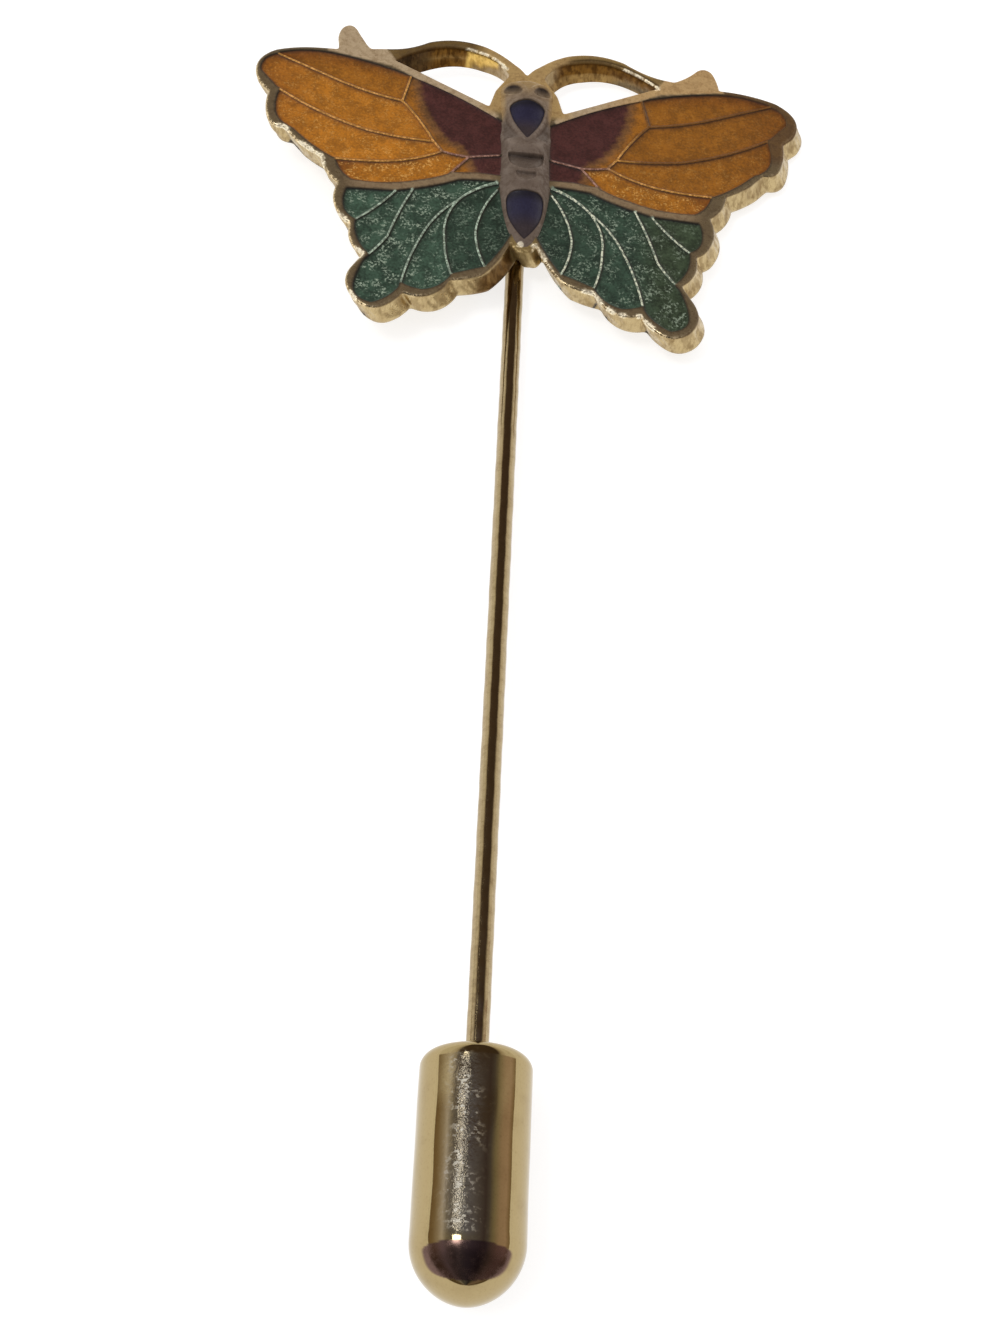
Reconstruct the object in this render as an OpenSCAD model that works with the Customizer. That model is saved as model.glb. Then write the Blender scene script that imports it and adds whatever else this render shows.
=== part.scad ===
// Stick pin: an enamelled butterfly head on a wire stem with a push-on stopper.
// Lying face up at rest: head end +Y, up +Z. All sizes in millimetres.

/* [Head] */
// Wing tip to wing tip
wing_span = 30.6; // [24:0.2:40]
// Full thickness of the head at its rim
plate_t = 1.5; // [1.1:0.05:2.4]
// Width of the raised veins between the enamel cells
vein_w = 0.22; // [0.12:0.02:0.4]
// Depth of the enamel cells below the rim
cell_depth = 0.5; // [0.3:0.05:0.8]
// Turn of the head on the stem, seen from above, in degrees
head_turn = 1; // [0:0.1:4]

/* [Body] */
// Radius of the turned body where it is thickest
body_r = 1.7; // [1.3:0.05:2.2]
// How far the body's axis lies below the rim
body_sink = 1; // [0.6:0.05:1.2]
// Depth of the body's enamel pockets
drop_depth = 0.4; // [0.2:0.05:0.6]
// Radius of the round dimples cut for the eyes
eye_r = 0.58; // [0.4:0.02:0.8]

/* [Enamel] */
// Gap round each enamel piece
enamel_gap = 0.03; // [0.02:0.01:0.08]
// How far the enamel lies below the rim
enamel_drop = 0.08; // [0:0.01:0.3]

/* [Stem] */
// Diameter of the stem wire
stem_d = 1.0; // [0.8:0.05:1.4]
// From the tail of the butterfly down to the mouth of the stopper
stem_free = 45; // [30:0.1:70]
// Length of the stem soldered behind the head, up from the tail
stem_up = 9; // [6:0.5:12]
// Length of the point
point_len = 2.4; // [1:0.1:5]
// Width of the flat end of the point
point_d = 0.16; // [0.1:0.02:0.4]
// How far the stem sinks into the head's back
solder_sink = 0.1; // [0.05:0.01:0.2]
// Width of the solder beside the stem
solder_w = 2.2; // [1.4:0.1:3]

/* [Stopper] */
// Outside diameter of the stopper
stopper_d = 4.84; // [4:0.02:7]
// Length of the stopper
stopper_len = 10.05; // [8:0.05:16]
// Rounding at the stopper's mouth
mouth_round = 0.3; // [0.1:0.05:0.6]
// How deep the stem goes into the stopper
stem_in = 7; // [4:0.5:7.4]
// Clearance round the stem in the stopper
bore_gap = 0.04; // [0.02:0.01:0.1]
// Clearance beyond the point in the stopper
point_gap = 0.4; // [0.2:0.1:1]

/* [Finish] */
// Colour of the gilt metal
gilt = "#b39a5e";
// Colour of the amber enamel
amber = "#a0641f";
// Colour of the plum enamel
plum = "#4b2026";
// Colour of the green enamel
green = "#324b3c";
// Colour of the blue enamel
blue = "#2d2d4b";
// Straight steps in each arc of the outlines
arc_steps = 4; // [2:1:8]
// Smoothness of the true rounds
$fn = 48; // [24:8:96]

/* [Hidden] */

// Tables give x and y in hundredths of the half span, from the tail end of the body's axis.
unit = wing_span / 200;

// One row per scallop or edge section, clockwise: x, y, bulge of the arc to the next row.
right_edge = [
    [0, 83, 0.07],
    [15, 96, 0.1],
    [37, 95.5, -0.06],
    [55.5, 88, -0.05],
    [64, 95, 0.25],
    [70, 95, 0.05],
    [72.5, 86, 0.05],
    [93, 82.5, 0.24],
    [98, 64.5, 0],
    [94.5, 61, 0.05],
    [93.5, 48.5, 0.2],
    [87, 44, 0],
    [82.5, 38.5, 0.03],
    [73, 31.8, 0.1],
    [66.5, 20, 0.12],
    [66, 6, 0.1],
    [61.5, 1.5, 0.15],
    [56, -12.5, 0],
    [60, -20, 0.16],
    [58, -34, 0.22],
    [46, -34, 0.05],
    [41, -28, 0.12],
    [30.5, -27, 0.08],
    [25, -20, 0.04],
    [14, -16.5, 0.05],
    [4.5, -0.4, 0],
    [3.2, -3, 0.15],
    [0, -3.8, 0]
];

// The open loop between an antenna and the wing: x, y, bulge.
antenna_loop = [
    [6.5, 82, 0.13],
    [19, 92.3, 0.09],
    [35, 92, 0.04],
    [49, 83.5, 0],
    [13.7, 65, 0],
    [11.5, 73.5, 0]
];

// Enamel cells between the middles of the veins and the rim line: x, y, bulge.
cell_plum = [
    [10, 57.5, 0.03],
    [43, 75, 0],
    [45.4, 63, -0.03],
    [33.3, 44.5, 0],
    [30, 40, 0.03],
    [20.3, 38.6, 0],
    [10, 40.8, 0]
];
cell_plum_small = [
    [10, 40.8, 0],
    [20.3, 38.6, 0],
    [26, 30.7, 0],
    [17, 31.7, 0],
    [10, 31.5, 0]
];
cell_amber_top = [
    [43, 75, 0.03],
    [73, 82.7, 0.06],
    [91, 80, 0],
    [69, 70, 0.03],
    [45.4, 63, 0]
];
cell_amber_upper = [
    [45.4, 63, -0.03],
    [69, 70, 0],
    [91, 80, 0.2],
    [97, 71.5, 0],
    [89.3, 62, 0.04],
    [57.5, 46.7, 0.03],
    [33.3, 44.5, 0.03]
];
cell_amber_middle = [
    [33.3, 44.5, -0.03],
    [57.5, 46.7, -0.04],
    [89.3, 62, 0.05],
    [90.3, 53, 0.15],
    [84, 44.4, 0],
    [79, 39.5, 0.03],
    [67.3, 31.2, 0.02],
    [49.7, 32.4, 0.05],
    [30, 40, 0]
];
cell_amber_lower = [
    [30, 40, -0.05],
    [49.7, 32.4, -0.02],
    [67.3, 31.2, 0.1],
    [61.4, 22.3, 0.06],
    [37.3, 25.5, 0.04],
    [26, 30.7, 0],
    [20.3, 38.6, -0.03]
];
cell_green_1 = [
    [10, 23.5, 0.06],
    [17, 3.3, 0.05],
    [13.5, -12, 0.03],
    [5.7, 2, 0],
    [8.8, 16.3, 0]
];
cell_green_2 = [
    [10, 27, 0.07],
    [23.5, 17.3, 0.09],
    [27.8, -0.7, 0.04],
    [25, -16.8, 0],
    [13.5, -12, -0.05],
    [17, 3.3, -0.06],
    [10, 23.5, 0]
];
cell_green_3 = [
    [23.5, 17.3, 0.06],
    [35.3, 0, 0.03],
    [41.8, -22.8, 0.06],
    [34.5, -25, 0.08],
    [28.2, -21.5, 0.05],
    [25, -16.8, -0.04],
    [27.8, -0.7, -0.09]
];
cell_green_4 = [
    [10, 27.6, 0.02],
    [23.5, 26.6, -0.03],
    [39.8, 20, 0.02],
    [47.4, -2.6, -0.02],
    [53.2, -11.5, 0.04],
    [57.5, -24.5, 0.24],
    [51.5, -33, 0.1],
    [41.8, -22.8, -0.03],
    [35.3, 0, -0.06],
    [23.5, 17.3, -0.07]
];
cell_green_5 = [
    [39.8, 20, 0],
    [46, 18.2, -0.03],
    [58.6, 3.8, 0.12],
    [53.2, -11.5, 0.02],
    [47.4, -2.6, -0.02]
];
cell_green_6 = [
    [46, 18.2, 0],
    [62.6, 17.3, 0.08],
    [62.8, 8, 0.1],
    [58.6, 3.8, 0.03]
];
cells = [
    cell_plum, cell_plum_small, cell_amber_top, cell_amber_upper, cell_amber_middle, cell_amber_lower,
    cell_green_1, cell_green_2, cell_green_3, cell_green_4, cell_green_5, cell_green_6
];

// Pockets and cuts on the body, the right half of each: x, y, bulge.
drop_thorax = [
    [0, 65.3, 0.05],
    [4.9, 64, 0.2],
    [6.3, 61.5, 0.1],
    [0, 46.5, 0]
];
drop_abdomen = [
    [0, 21.4, 0],
    [4.2, 21.3, 0.2],
    [6.5, 18.5, 0.1],
    [0, 1.2, 0]
];
crescent_big = [
    [0, 37.8, -0.06],
    [6.3, 41.5, 0.2],
    [0, 31.2, 0]
];
crescent_small = [
    [0, 29.5, -0.06],
    [3.6, 30.6, 0.2],
    [0, 25.8, 0]
];

// The body's turned form from tail to head: y, share of the body's radius.
body_form = [
    [-2.6, 0.59],
    [0.6, 0.67],
    [7, 0.79],
    [16, 0.92],
    [26, 1.03],
    [35, 0.99],
    [56, 1],
    [67, 1.07],
    [75, 1.05],
    [80, 0.8]
];

// Where the eyes lie: x, y.
eye_at = [5.4, 70.3];

stem_r = stem_d / 2;
stopper_r = stopper_d / 2;
bore_r = stem_r + bore_gap;
bore_len = stem_in + point_gap;
mouth_y = -stem_free;
belly_y = mouth_y - stopper_len + stopper_r;
back_z = stem_r - solder_sink;
face_z = back_z + plate_t;
floor_z = face_z - cell_depth;
turn_y = 83 * unit;
lip = 0.02;
through = plate_t;

// A point on the bowed line from p to q; b is the bow's height as a share of its length.
function bow(p, q, b, t) =
    let (along = [q[0] - p[0], q[1] - p[1]])
    [p[0] + t * along[0] - 4 * b * t * (1 - t) * along[1], p[1] + t * along[1] + 4 * b * t * (1 - t) * along[0]];

// The points of one row's bow, without its last point.
function bow_points(p, q) = [
    for (k = [0:(p[2] == 0 ? 0 : arc_steps - 1)])
        bow(p, q, p[2], k / arc_steps) * unit
];

// A closed loop from a table.
function loop(rows) = [
    for (i = [0:len(rows) - 1])
        each bow_points(rows[i], rows[(i + 1) % len(rows)])
];

// A closed loop from the right half of a symmetric table.
function half_line(rows) = [
    for (i = [0:len(rows) - 2])
        each bow_points(rows[i], rows[i + 1])
];
function both_halves(rows) =
    let (half = half_line(rows), end = rows[len(rows) - 1])
    concat(half, [[end[0], end[1]] * unit], [for (i = [len(half) - 1:-1:1]) [-half[i][0], half[i][1]]]);

// The side of a step from p to q moved to its right by d: its start and its direction.
function moved_side(p, q, d) =
    let (along = (q - p) / norm(q - p))
    [p + d * [along[1], -along[0]], along];

// Where two sides meet; sides in one line meet at the start of the second.
function meet(a, b) =
    let (
        turn = a[1][0] * b[1][1] - a[1][1] * b[1][0],
        apart = b[0] - a[0]
    )
    abs(turn) < 0.01 ? b[0] : a[0] + a[1] * ((apart[0] * b[1][1] - apart[1] * b[1][0]) / turn);

// The corners of a loop of sides, without the sides that the inset used up.
function corners_of(sides) =
    let (
        n = len(sides),
        pts = [for (i = [0:n - 1]) meet(sides[(i + n - 1) % n], sides[i])],
        runs = [for (i = [0:n - 1]) (pts[(i + 1) % n] - pts[i]) * sides[i][1]],
        least = min(runs)
    )
    least > 0 ? pts : corners_of([for (i = [0:n - 1]) if (runs[i] > least) sides[i]]);

// A clockwise loop drawn in by d.
function inset(pts, d) =
    let (n = len(pts))
    corners_of([for (i = [0:n - 1]) moved_side(pts[i], pts[(i + 1) % n], d)]);

// The head's edge turned onto the stem.
function turned(p) = [
    p[0] * cos(head_turn) - (p[1] - turn_y) * sin(head_turn),
    turn_y + p[0] * sin(head_turn) + (p[1] - turn_y) * cos(head_turn)
];
edge = both_halves(right_edge);
edge_turned = [for (p = edge) turned(p)];

// Lying at rest: the stopper, the upper end of the stem and the right wing touch the table.
rest_y = mouth_y - mouth_round;
pitch = atan2(stopper_r - stem_r, stem_up - rest_y);
lift = stopper_r * cos(pitch) + rest_y * sin(pitch);
function roll_to_touch(p) =
    asin((lift - p[1] * sin(pitch)) / cos(pitch) / norm([p[0], back_z])) + atan2(back_z, p[0]);
roll = min([for (p = edge_turned) if (p[0] > wing_span / 4) roll_to_touch(p)]);
function at_rest(x, y, z) =
    let (z_rolled = z * cos(roll) - x * sin(roll))
    [x * cos(roll) + z * sin(roll), y * cos(pitch) + z_rolled * sin(pitch)];
corners = [
    for (p = edge_turned)
        for (z = [back_z, face_z])
            at_rest(p[0], p[1], z)
];
x_mid = (max([for (c = corners) c[0]]) + min([for (c = corners) c[0]])) / 2;
y_mid = (max([for (c = corners) c[1]]) + belly_y * cos(pitch) - stopper_r) / 2;

module rest() {
    translate([-x_mid, -y_mid, lift])
        rotate([-pitch, 0, 0])
            rotate([0, roll, 0])
                children();
}

module on_head() {
    translate([0, turn_y, 0])
        rotate([0, 0, head_turn])
            translate([0, -turn_y, 0])
                children();
}

module slab(pts, low, high) {
    translate([0, 0, low])
        linear_extrude(high - low)
            polygon(pts);
}

// The turned body, drawn in by less, cut off at the face of the wings.
module body_dome(less) {
    last = len(body_form) - 1;
    intersection() {
        translate([0, 0, face_z - body_sink])
            rotate([-90, 0, 0])
                rotate_extrude()
                    polygon([
                        [0, body_form[0][0] * unit],
                        for (row = body_form) [row[1] * body_r - less, row[0] * unit],
                        [0, body_form[last][0] * unit]
                    ]);
        translate([-body_r * 2, -body_r * 2, face_z - lip])
            cube([body_r * 4, wing_span, body_r]);
    }
}

pocket_z = face_z + body_r - body_sink - drop_depth;

module pin_solid() {
    difference() {
        union() {
            on_head() {
                difference() {
                    slab(edge, back_z, face_z);
                    for (side = [1, -1])
                        scale([side, 1, 1]) {
                            slab(loop(antenna_loop), back_z - through, face_z + through);
                            for (rows = cells)
                                slab(inset(loop(rows), vein_w / 2), floor_z, face_z + through);
                        }
                }
                body_dome(0);
            }
            stem();
            solder();
        }
        on_head() {
            slab(both_halves(drop_thorax), pocket_z, face_z + body_r * 2);
            slab(both_halves(drop_abdomen), pocket_z, face_z + body_r * 2);
            slab(both_halves(crescent_big), pocket_z + drop_depth / 3, face_z + body_r * 2);
            slab(both_halves(crescent_small), pocket_z + drop_depth / 3, face_z + body_r * 2);
            for (side = [1, -1])
                translate([side * eye_at[0] * unit, eye_at[1] * unit, face_z + body_r - body_sink])
                    sphere(eye_r);
        }
    }
}

module stem() {
    translate([0, stem_up, 0])
        rotate([90, 0, 0])
            cylinder(h = stem_up + stem_free + stem_in - point_len, r = stem_r);
    translate([0, mouth_y - stem_in + point_len, 0])
        rotate([90, 0, 0])
            cylinder(h = point_len, r1 = stem_r, r2 = point_d / 2);
}

// Solder between the stem and the head's back.
module solder() {
    translate([0, stem_up - stem_r, 0])
        rotate([90, 0, 0])
            linear_extrude(stem_up - stem_r * 2)
                polygon([
                    [-solder_w / 2, back_z + lip],
                    [solder_w / 2, back_z + lip],
                    [stem_r * 0.8, 0],
                    [-stem_r * 0.8, 0]
                ]);
}

module enamel(side, rows) {
    rest()
        on_head()
            scale([side, 1, 1])
                slab(inset(loop(rows), vein_w / 2 + enamel_gap), floor_z + enamel_gap, face_z - enamel_drop);
}

module body_enamel(rows) {
    rest()
        on_head()
            intersection() {
                slab(inset(both_halves(rows), enamel_gap), pocket_z + enamel_gap, face_z + body_r);
                body_dome(enamel_drop / 2);
            }
}

module pin() color(gilt) rest() pin_solid();

module stopper() color(gilt)
    rest()
        translate([0, mouth_y, 0])
            rotate([90, 0, 0])
                difference() {
                    union() {
                        rotate_extrude() {
                            square([stopper_r - mouth_round, stopper_len - stopper_r]);
                            translate([0, mouth_round])
                                square([stopper_r, stopper_len - stopper_r - mouth_round]);
                            translate([stopper_r - mouth_round, mouth_round])
                                circle(mouth_round);
                        }
                        translate([0, 0, stopper_len - stopper_r])
                            sphere(stopper_r);
                    }
                    translate([0, 0, -through])
                        cylinder(h = bore_len + through, r = bore_r);
                }

module left_amber_top() color(amber) enamel(-1, cell_amber_top);
module left_amber_upper() color(amber) enamel(-1, cell_amber_upper);
module left_amber_middle() color(amber) enamel(-1, cell_amber_middle);
module left_amber_lower() color(amber) enamel(-1, cell_amber_lower);
module left_plum() color(plum) enamel(-1, cell_plum);
module left_plum_small() color(plum) enamel(-1, cell_plum_small);
module left_green_1() color(green) enamel(-1, cell_green_1);
module left_green_2() color(green) enamel(-1, cell_green_2);
module left_green_3() color(green) enamel(-1, cell_green_3);
module left_green_4() color(green) enamel(-1, cell_green_4);
module left_green_5() color(green) enamel(-1, cell_green_5);
module left_green_6() color(green) enamel(-1, cell_green_6);
module right_amber_top() color(amber) enamel(1, cell_amber_top);
module right_amber_upper() color(amber) enamel(1, cell_amber_upper);
module right_amber_middle() color(amber) enamel(1, cell_amber_middle);
module right_amber_lower() color(amber) enamel(1, cell_amber_lower);
module right_plum() color(plum) enamel(1, cell_plum);
module right_plum_small() color(plum) enamel(1, cell_plum_small);
module right_green_1() color(green) enamel(1, cell_green_1);
module right_green_2() color(green) enamel(1, cell_green_2);
module right_green_3() color(green) enamel(1, cell_green_3);
module right_green_4() color(green) enamel(1, cell_green_4);
module right_green_5() color(green) enamel(1, cell_green_5);
module right_green_6() color(green) enamel(1, cell_green_6);
module thorax_blue() color(blue) body_enamel(drop_thorax);
module abdomen_blue() color(blue) body_enamel(drop_abdomen);

pin();
stopper();
left_amber_top();
left_amber_upper();
left_amber_middle();
left_amber_lower();
left_plum();
left_plum_small();
left_green_1();
left_green_2();
left_green_3();
left_green_4();
left_green_5();
left_green_6();
right_amber_top();
right_amber_upper();
right_amber_middle();
right_amber_lower();
right_plum();
right_plum_small();
right_green_1();
right_green_2();
right_green_3();
right_green_4();
right_green_5();
right_green_6();
thorax_blue();
abdomen_blue();
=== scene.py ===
"""Stick pin with an enamelled butterfly head, dressed over its solids.

Shapes are worked out in the pin's own frame, in millimetres: the stem's axis is the Y axis, the tail of the
butterfly is at Y = 0, the antennae are towards +Y and the face of the head looks along +Z. RestPose lays that
frame down as the pin lies at rest, in metres.
"""

import logging
import math
from dataclasses import dataclass, field
from enum import Enum

import bpy
import numpy as np
from mathutils import Matrix, Vector
from mathutils.geometry import delaunay_2d_cdt


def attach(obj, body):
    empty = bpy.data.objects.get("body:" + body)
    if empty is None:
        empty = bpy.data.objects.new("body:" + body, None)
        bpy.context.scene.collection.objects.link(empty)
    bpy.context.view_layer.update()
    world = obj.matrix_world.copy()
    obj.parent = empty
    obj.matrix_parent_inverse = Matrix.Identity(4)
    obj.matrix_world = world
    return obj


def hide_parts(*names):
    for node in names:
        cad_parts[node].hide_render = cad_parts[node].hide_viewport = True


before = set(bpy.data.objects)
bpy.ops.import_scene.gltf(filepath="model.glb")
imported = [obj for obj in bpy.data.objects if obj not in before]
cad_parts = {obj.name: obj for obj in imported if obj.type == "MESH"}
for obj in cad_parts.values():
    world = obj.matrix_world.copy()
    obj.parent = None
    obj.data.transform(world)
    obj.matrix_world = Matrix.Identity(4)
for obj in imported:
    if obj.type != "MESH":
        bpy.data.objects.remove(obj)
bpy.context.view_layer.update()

LOG = logging.getLogger("stick_pin")
MM = 0.001
Rows = tuple[tuple[float, ...], ...]
Colour = tuple[float, float, float]


class Side(Enum):
    """The two wings, with the sign of their X."""

    LEFT = -1
    RIGHT = 1


class Hue(Enum):
    """The enamel colours, named as the record's material slots."""

    AMBER = "amber_enamel"
    PLUM = "plum_enamel"
    GREEN = "green_enamel"
    BLUE = "blue_enamel"


# ---------------------------------------------------------------- drawings


@dataclass(frozen=True)
class WingDrawing:
    """Outlines of the head in hundredths of the half span: x, y and the bulge of the arc to the next row."""

    unit: float = 0.153
    right_edge: Rows = (
        (0, 83, 0.07), (15, 96, 0.1), (37, 95.5, -0.06), (55.5, 88, -0.05), (64, 95, 0.25), (70, 95, 0.05),
        (72.5, 86, 0.05), (93, 82.5, 0.24), (98, 64.5, 0), (94.5, 61, 0.05), (93.5, 48.5, 0.2), (87, 44, 0),
        (82.5, 38.5, 0.03), (73, 31.8, 0.1), (66.5, 20, 0.12), (66, 6, 0.1), (61.5, 1.5, 0.15), (56, -12.5, 0),
        (60, -20, 0.16), (58, -34, 0.22), (46, -34, 0.05), (41, -28, 0.12), (30.5, -27, 0.08), (25, -20, 0.04),
        (14, -16.5, 0.05), (4.5, -0.4, 0), (3.2, -3, 0.15), (0, -3.8, 0),
    )
    antenna_loop: Rows = (
        (6.5, 82, 0.13), (19, 92.3, 0.09), (35, 92, 0.04), (49, 83.5, 0), (13.7, 65, 0), (11.5, 73.5, 0),
    )
    beige_strip: Rows = (
        (13.7, 65.5), (49, 84), (54, 91), (60, 99), (74, 103), (74, 84.5), (50, 80), (12, 58.5), (10, 60),
    )
    cells: dict[str, Rows] = field(default_factory=lambda: {
        "plum": (
            (10, 57.5, 0.03), (43, 75, 0), (45.4, 63, -0.03), (33.3, 44.5, 0), (30, 40, 0.03), (20.3, 38.6, 0),
            (10, 40.8, 0),
        ),
        "plum_small": ((10, 40.8, 0), (20.3, 38.6, 0), (26, 30.7, 0), (17, 31.7, 0), (10, 31.5, 0)),
        "amber_top": ((43, 75, 0.03), (73, 82.7, 0.06), (91, 80, 0), (69, 70, 0.03), (45.4, 63, 0)),
        "amber_upper": (
            (45.4, 63, -0.03), (69, 70, 0), (91, 80, 0.2), (97, 71.5, 0), (89.3, 62, 0.04), (57.5, 46.7, 0.03),
            (33.3, 44.5, 0.03),
        ),
        "amber_middle": (
            (33.3, 44.5, -0.03), (57.5, 46.7, -0.04), (89.3, 62, 0.05), (90.3, 53, 0.15), (84, 44.4, 0),
            (79, 39.5, 0.03), (67.3, 31.2, 0.02), (49.7, 32.4, 0.05), (30, 40, 0),
        ),
        "amber_lower": (
            (30, 40, -0.05), (49.7, 32.4, -0.02), (67.3, 31.2, 0.1), (61.4, 22.3, 0.06), (37.3, 25.5, 0.04),
            (26, 30.7, 0), (20.3, 38.6, -0.03),
        ),
        "green_1": ((10, 23.5, 0.06), (17, 3.3, 0.05), (13.5, -12, 0.03), (5.7, 2, 0), (8.8, 16.3, 0)),
        "green_2": (
            (10, 27, 0.07), (23.5, 17.3, 0.09), (27.8, -0.7, 0.04), (25, -16.8, 0), (13.5, -12, -0.05),
            (17, 3.3, -0.06), (10, 23.5, 0),
        ),
        "green_3": (
            (23.5, 17.3, 0.06), (35.3, 0, 0.03), (41.8, -22.8, 0.06), (34.5, -25, 0.08), (28.2, -21.5, 0.05),
            (25, -16.8, -0.04), (27.8, -0.7, -0.09),
        ),
        "green_4": (
            (10, 27.6, 0.02), (23.5, 26.6, -0.03), (39.8, 20, 0.02), (47.4, -2.6, -0.02), (53.2, -11.5, 0.04),
            (57.5, -24.5, 0.24), (51.5, -33, 0.1), (41.8, -22.8, -0.03), (35.3, 0, -0.06), (23.5, 17.3, -0.07),
        ),
        "green_5": ((39.8, 20, 0), (46, 18.2, -0.03), (58.6, 3.8, 0.12), (53.2, -11.5, 0.02), (47.4, -2.6, -0.02)),
        "green_6": ((46, 18.2, 0), (62.6, 17.3, 0.08), (62.8, 8, 0.1), (58.6, 3.8, 0.03)),
    })
    plum_ends: dict[Side, Rows] = field(default_factory=lambda: {
        Side.LEFT: (
            (-40.5, 90), (-39.3, 70.4), (-37.6, 64.3), (-35.1, 57.1), (-31.2, 50.1), (-27.1, 45.7), (-22.9, 43.9),
            (-20, 38.4), (-17, 30), (-17, 10),
        ),
        Side.RIGHT: (
            (38, 90), (38, 75.3), (37.8, 70.1), (36.6, 62.4), (32.6, 51.8), (27.6, 44.7), (21.7, 40.4), (20, 30),
            (20, 10),
        ),
    })

    def vein_sides(self, name: str) -> list[bool]:
        """For each side of a cell, whether it is a vein that another cell shares."""
        runs = {(p[:2], q[:2]) for rows in self.cells.values() for p, q in zip(rows, rows[1:] + rows[:1])}
        loose = {((10, 27), (23.5, 17.3)), ((23.5, 17.3), (10, 27.6))}
        rows = self.cells[name]
        return [(q[:2], p[:2]) in runs or (p[:2], q[:2]) in loose for p, q in zip(rows, rows[1:] + rows[:1])]


@dataclass(frozen=True)
class BodyDrawing:
    """Outlines on the body, right halves, and its turned form, in hundredths of the half span."""

    drop_thorax: Rows = ((0, 65.3, 0.05), (4.9, 64, 0.2), (6.3, 61.5, 0.06), (0, 46.5, 0))
    drop_abdomen: Rows = ((0, 21.4, 0), (4.2, 21.3, 0.2), (6.5, 18.5, 0.1), (0, 1.2, 0))
    crescent_big: Rows = ((0, 38.8, -0.07), (6.3, 40.8, 0.2), (0, 31.2, 0))
    crescent_small: Rows = ((0, 29.7, -0.06), (3.6, 30.6, 0.2), (0, 25.8, 0))
    form: Rows = (
        (-2.6, 0.59), (0.6, 0.67), (7, 0.79), (16, 0.92), (26, 1.03), (35, 0.99), (56, 1.0), (67, 1.07),
        (75, 1.05), (80, 0.8), (82, 0.6),
    )
    eye_at: tuple[float, float] = (5.4, 70.3)


@dataclass(frozen=True)
class GlintDrawing:
    """Spots painted as white glints, painted highlights: x and y in hundredths of the half span, and how far each
    reaches.
    """

    tail: Rows = ((-1.2, -1.1, 1.2), (3.9, -0.8, 1.2))
    edge: Rows = (
        (-87, 44, 3.0), (-79, 34.5, 4.0), (-73, 30, 4.0), (-64, 3, 3.0), (-57, -12, 3.0), (-58, -31, 2.5),
        (5, -3.5, 2.2), (8, -5, 2.5), (11.5, -8, 3.0), (17, -14, 2.0), (23.5, -18.4, 3.0), (27, -22, 2.5),
        (31, -26, 2.0), (35, -27, 1.8), (41, -26, 2.5), (44.5, -31, 3.0), (38, 91, 2.2), (42, 89, 2.2),
        (46, 86.5, 2.2), (50, 83.5, 2.5), (-21, 92.5, 2.5), (-16.5, 91, 2.5), (-12, 88.5, 2.5), (-9, 86, 2.5),
    )

    def share(self, x: np.ndarray, y: np.ndarray, spots: Rows) -> np.ndarray:
        """How strongly places glint: the largest exp(-(distance / reach)^2) of any spot."""
        return np.max([np.exp(-((x - sx) ** 2 + (y - sy) ** 2) / reach**2) for sx, sy, reach in spots], 0)


@dataclass(frozen=True)
class Depths:
    """Levels of the head along Z, in millimetres."""

    back: float = 0.4
    face: float = 1.9
    floor: float = 1.6


WINGS = WingDrawing()
BODY = BodyDrawing()
GLINTS = GlintDrawing()
DEPTHS = Depths()


# ---------------------------------------------------------------- outlines


def bowed_points(start: tuple[float, ...], end: tuple[float, ...], count: int) -> np.ndarray:
    """Points of one bowed side, without its end.

    A point at share t lies t of the way along the side, moved to the left of it by 4 b t (1 - t) of its length.

    Args:
        start: x, y and bulge b of the side's row.
        end: x and y of the next row.
        count: how many points to take.

    Returns:
        Points, one row each.
    """
    t = np.arange(count)[:, None] / count
    p, q = np.array(start[:2], float), np.array(end[:2], float)
    along = q - p
    left = np.array([-along[1], along[0]])
    return p + t * along + 4 * start[2] * t * (1 - t) * left


def closed_outline(rows: Rows, per_side: int = 24) -> np.ndarray:
    """The closed loop of a table's bowed sides."""
    ends = rows[1:] + rows[:1]
    return np.vstack([bowed_points(p, q, per_side) for p, q in zip(rows, ends)])


def symmetric_outline(rows: Rows, per_side: int = 24) -> np.ndarray:
    """The closed loop whose right half a table gives, from its first row on the axis to its last."""
    half = np.vstack([bowed_points(p, q, per_side) for p, q in zip(rows, rows[1:])] + [np.array([rows[-1][:2]])])
    return np.vstack([half, half[-2:0:-1] * (-1, 1)])


def even_steps(loop: np.ndarray, step: float) -> np.ndarray:
    """A closed loop sampled again at equal steps of its length."""
    closed = np.vstack([loop, loop[:1]])
    length = np.r_[0, np.cumsum(np.linalg.norm(np.diff(closed, axis=0), axis=1))]
    count = max(24, int(round(length[-1] / step)))
    at = np.arange(count) * length[-1] / count
    return np.stack([np.interp(at, length, closed[:, 0]), np.interp(at, length, closed[:, 1])], 1)


def softened(loop: np.ndarray, soft: float) -> np.ndarray:
    """A closed loop of equal steps with its corners rounded.

    Each point becomes the Gauss-weighted mean of the loop around it, with spread soft, worked out on the loop's
    waves: the wave of k turns in length L shrinks by exp(-(2 pi k soft / L)^2 / 2).

    Args:
        loop: points at equal steps, in millimetres.
        soft: the spread, in millimetres.

    Returns:
        As many points.
    """
    step = np.linalg.norm(loop - np.roll(loop, -1, 0), axis=1).mean()
    waves = np.fft.fft(loop[:, 0] + 1j * loop[:, 1])
    turns = np.fft.fftfreq(len(loop), d=step)
    smooth = np.fft.ifft(waves * np.exp(-((2 * np.pi * turns * soft) ** 2) / 2))
    return np.stack([smooth.real, smooth.imag], 1)


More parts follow.
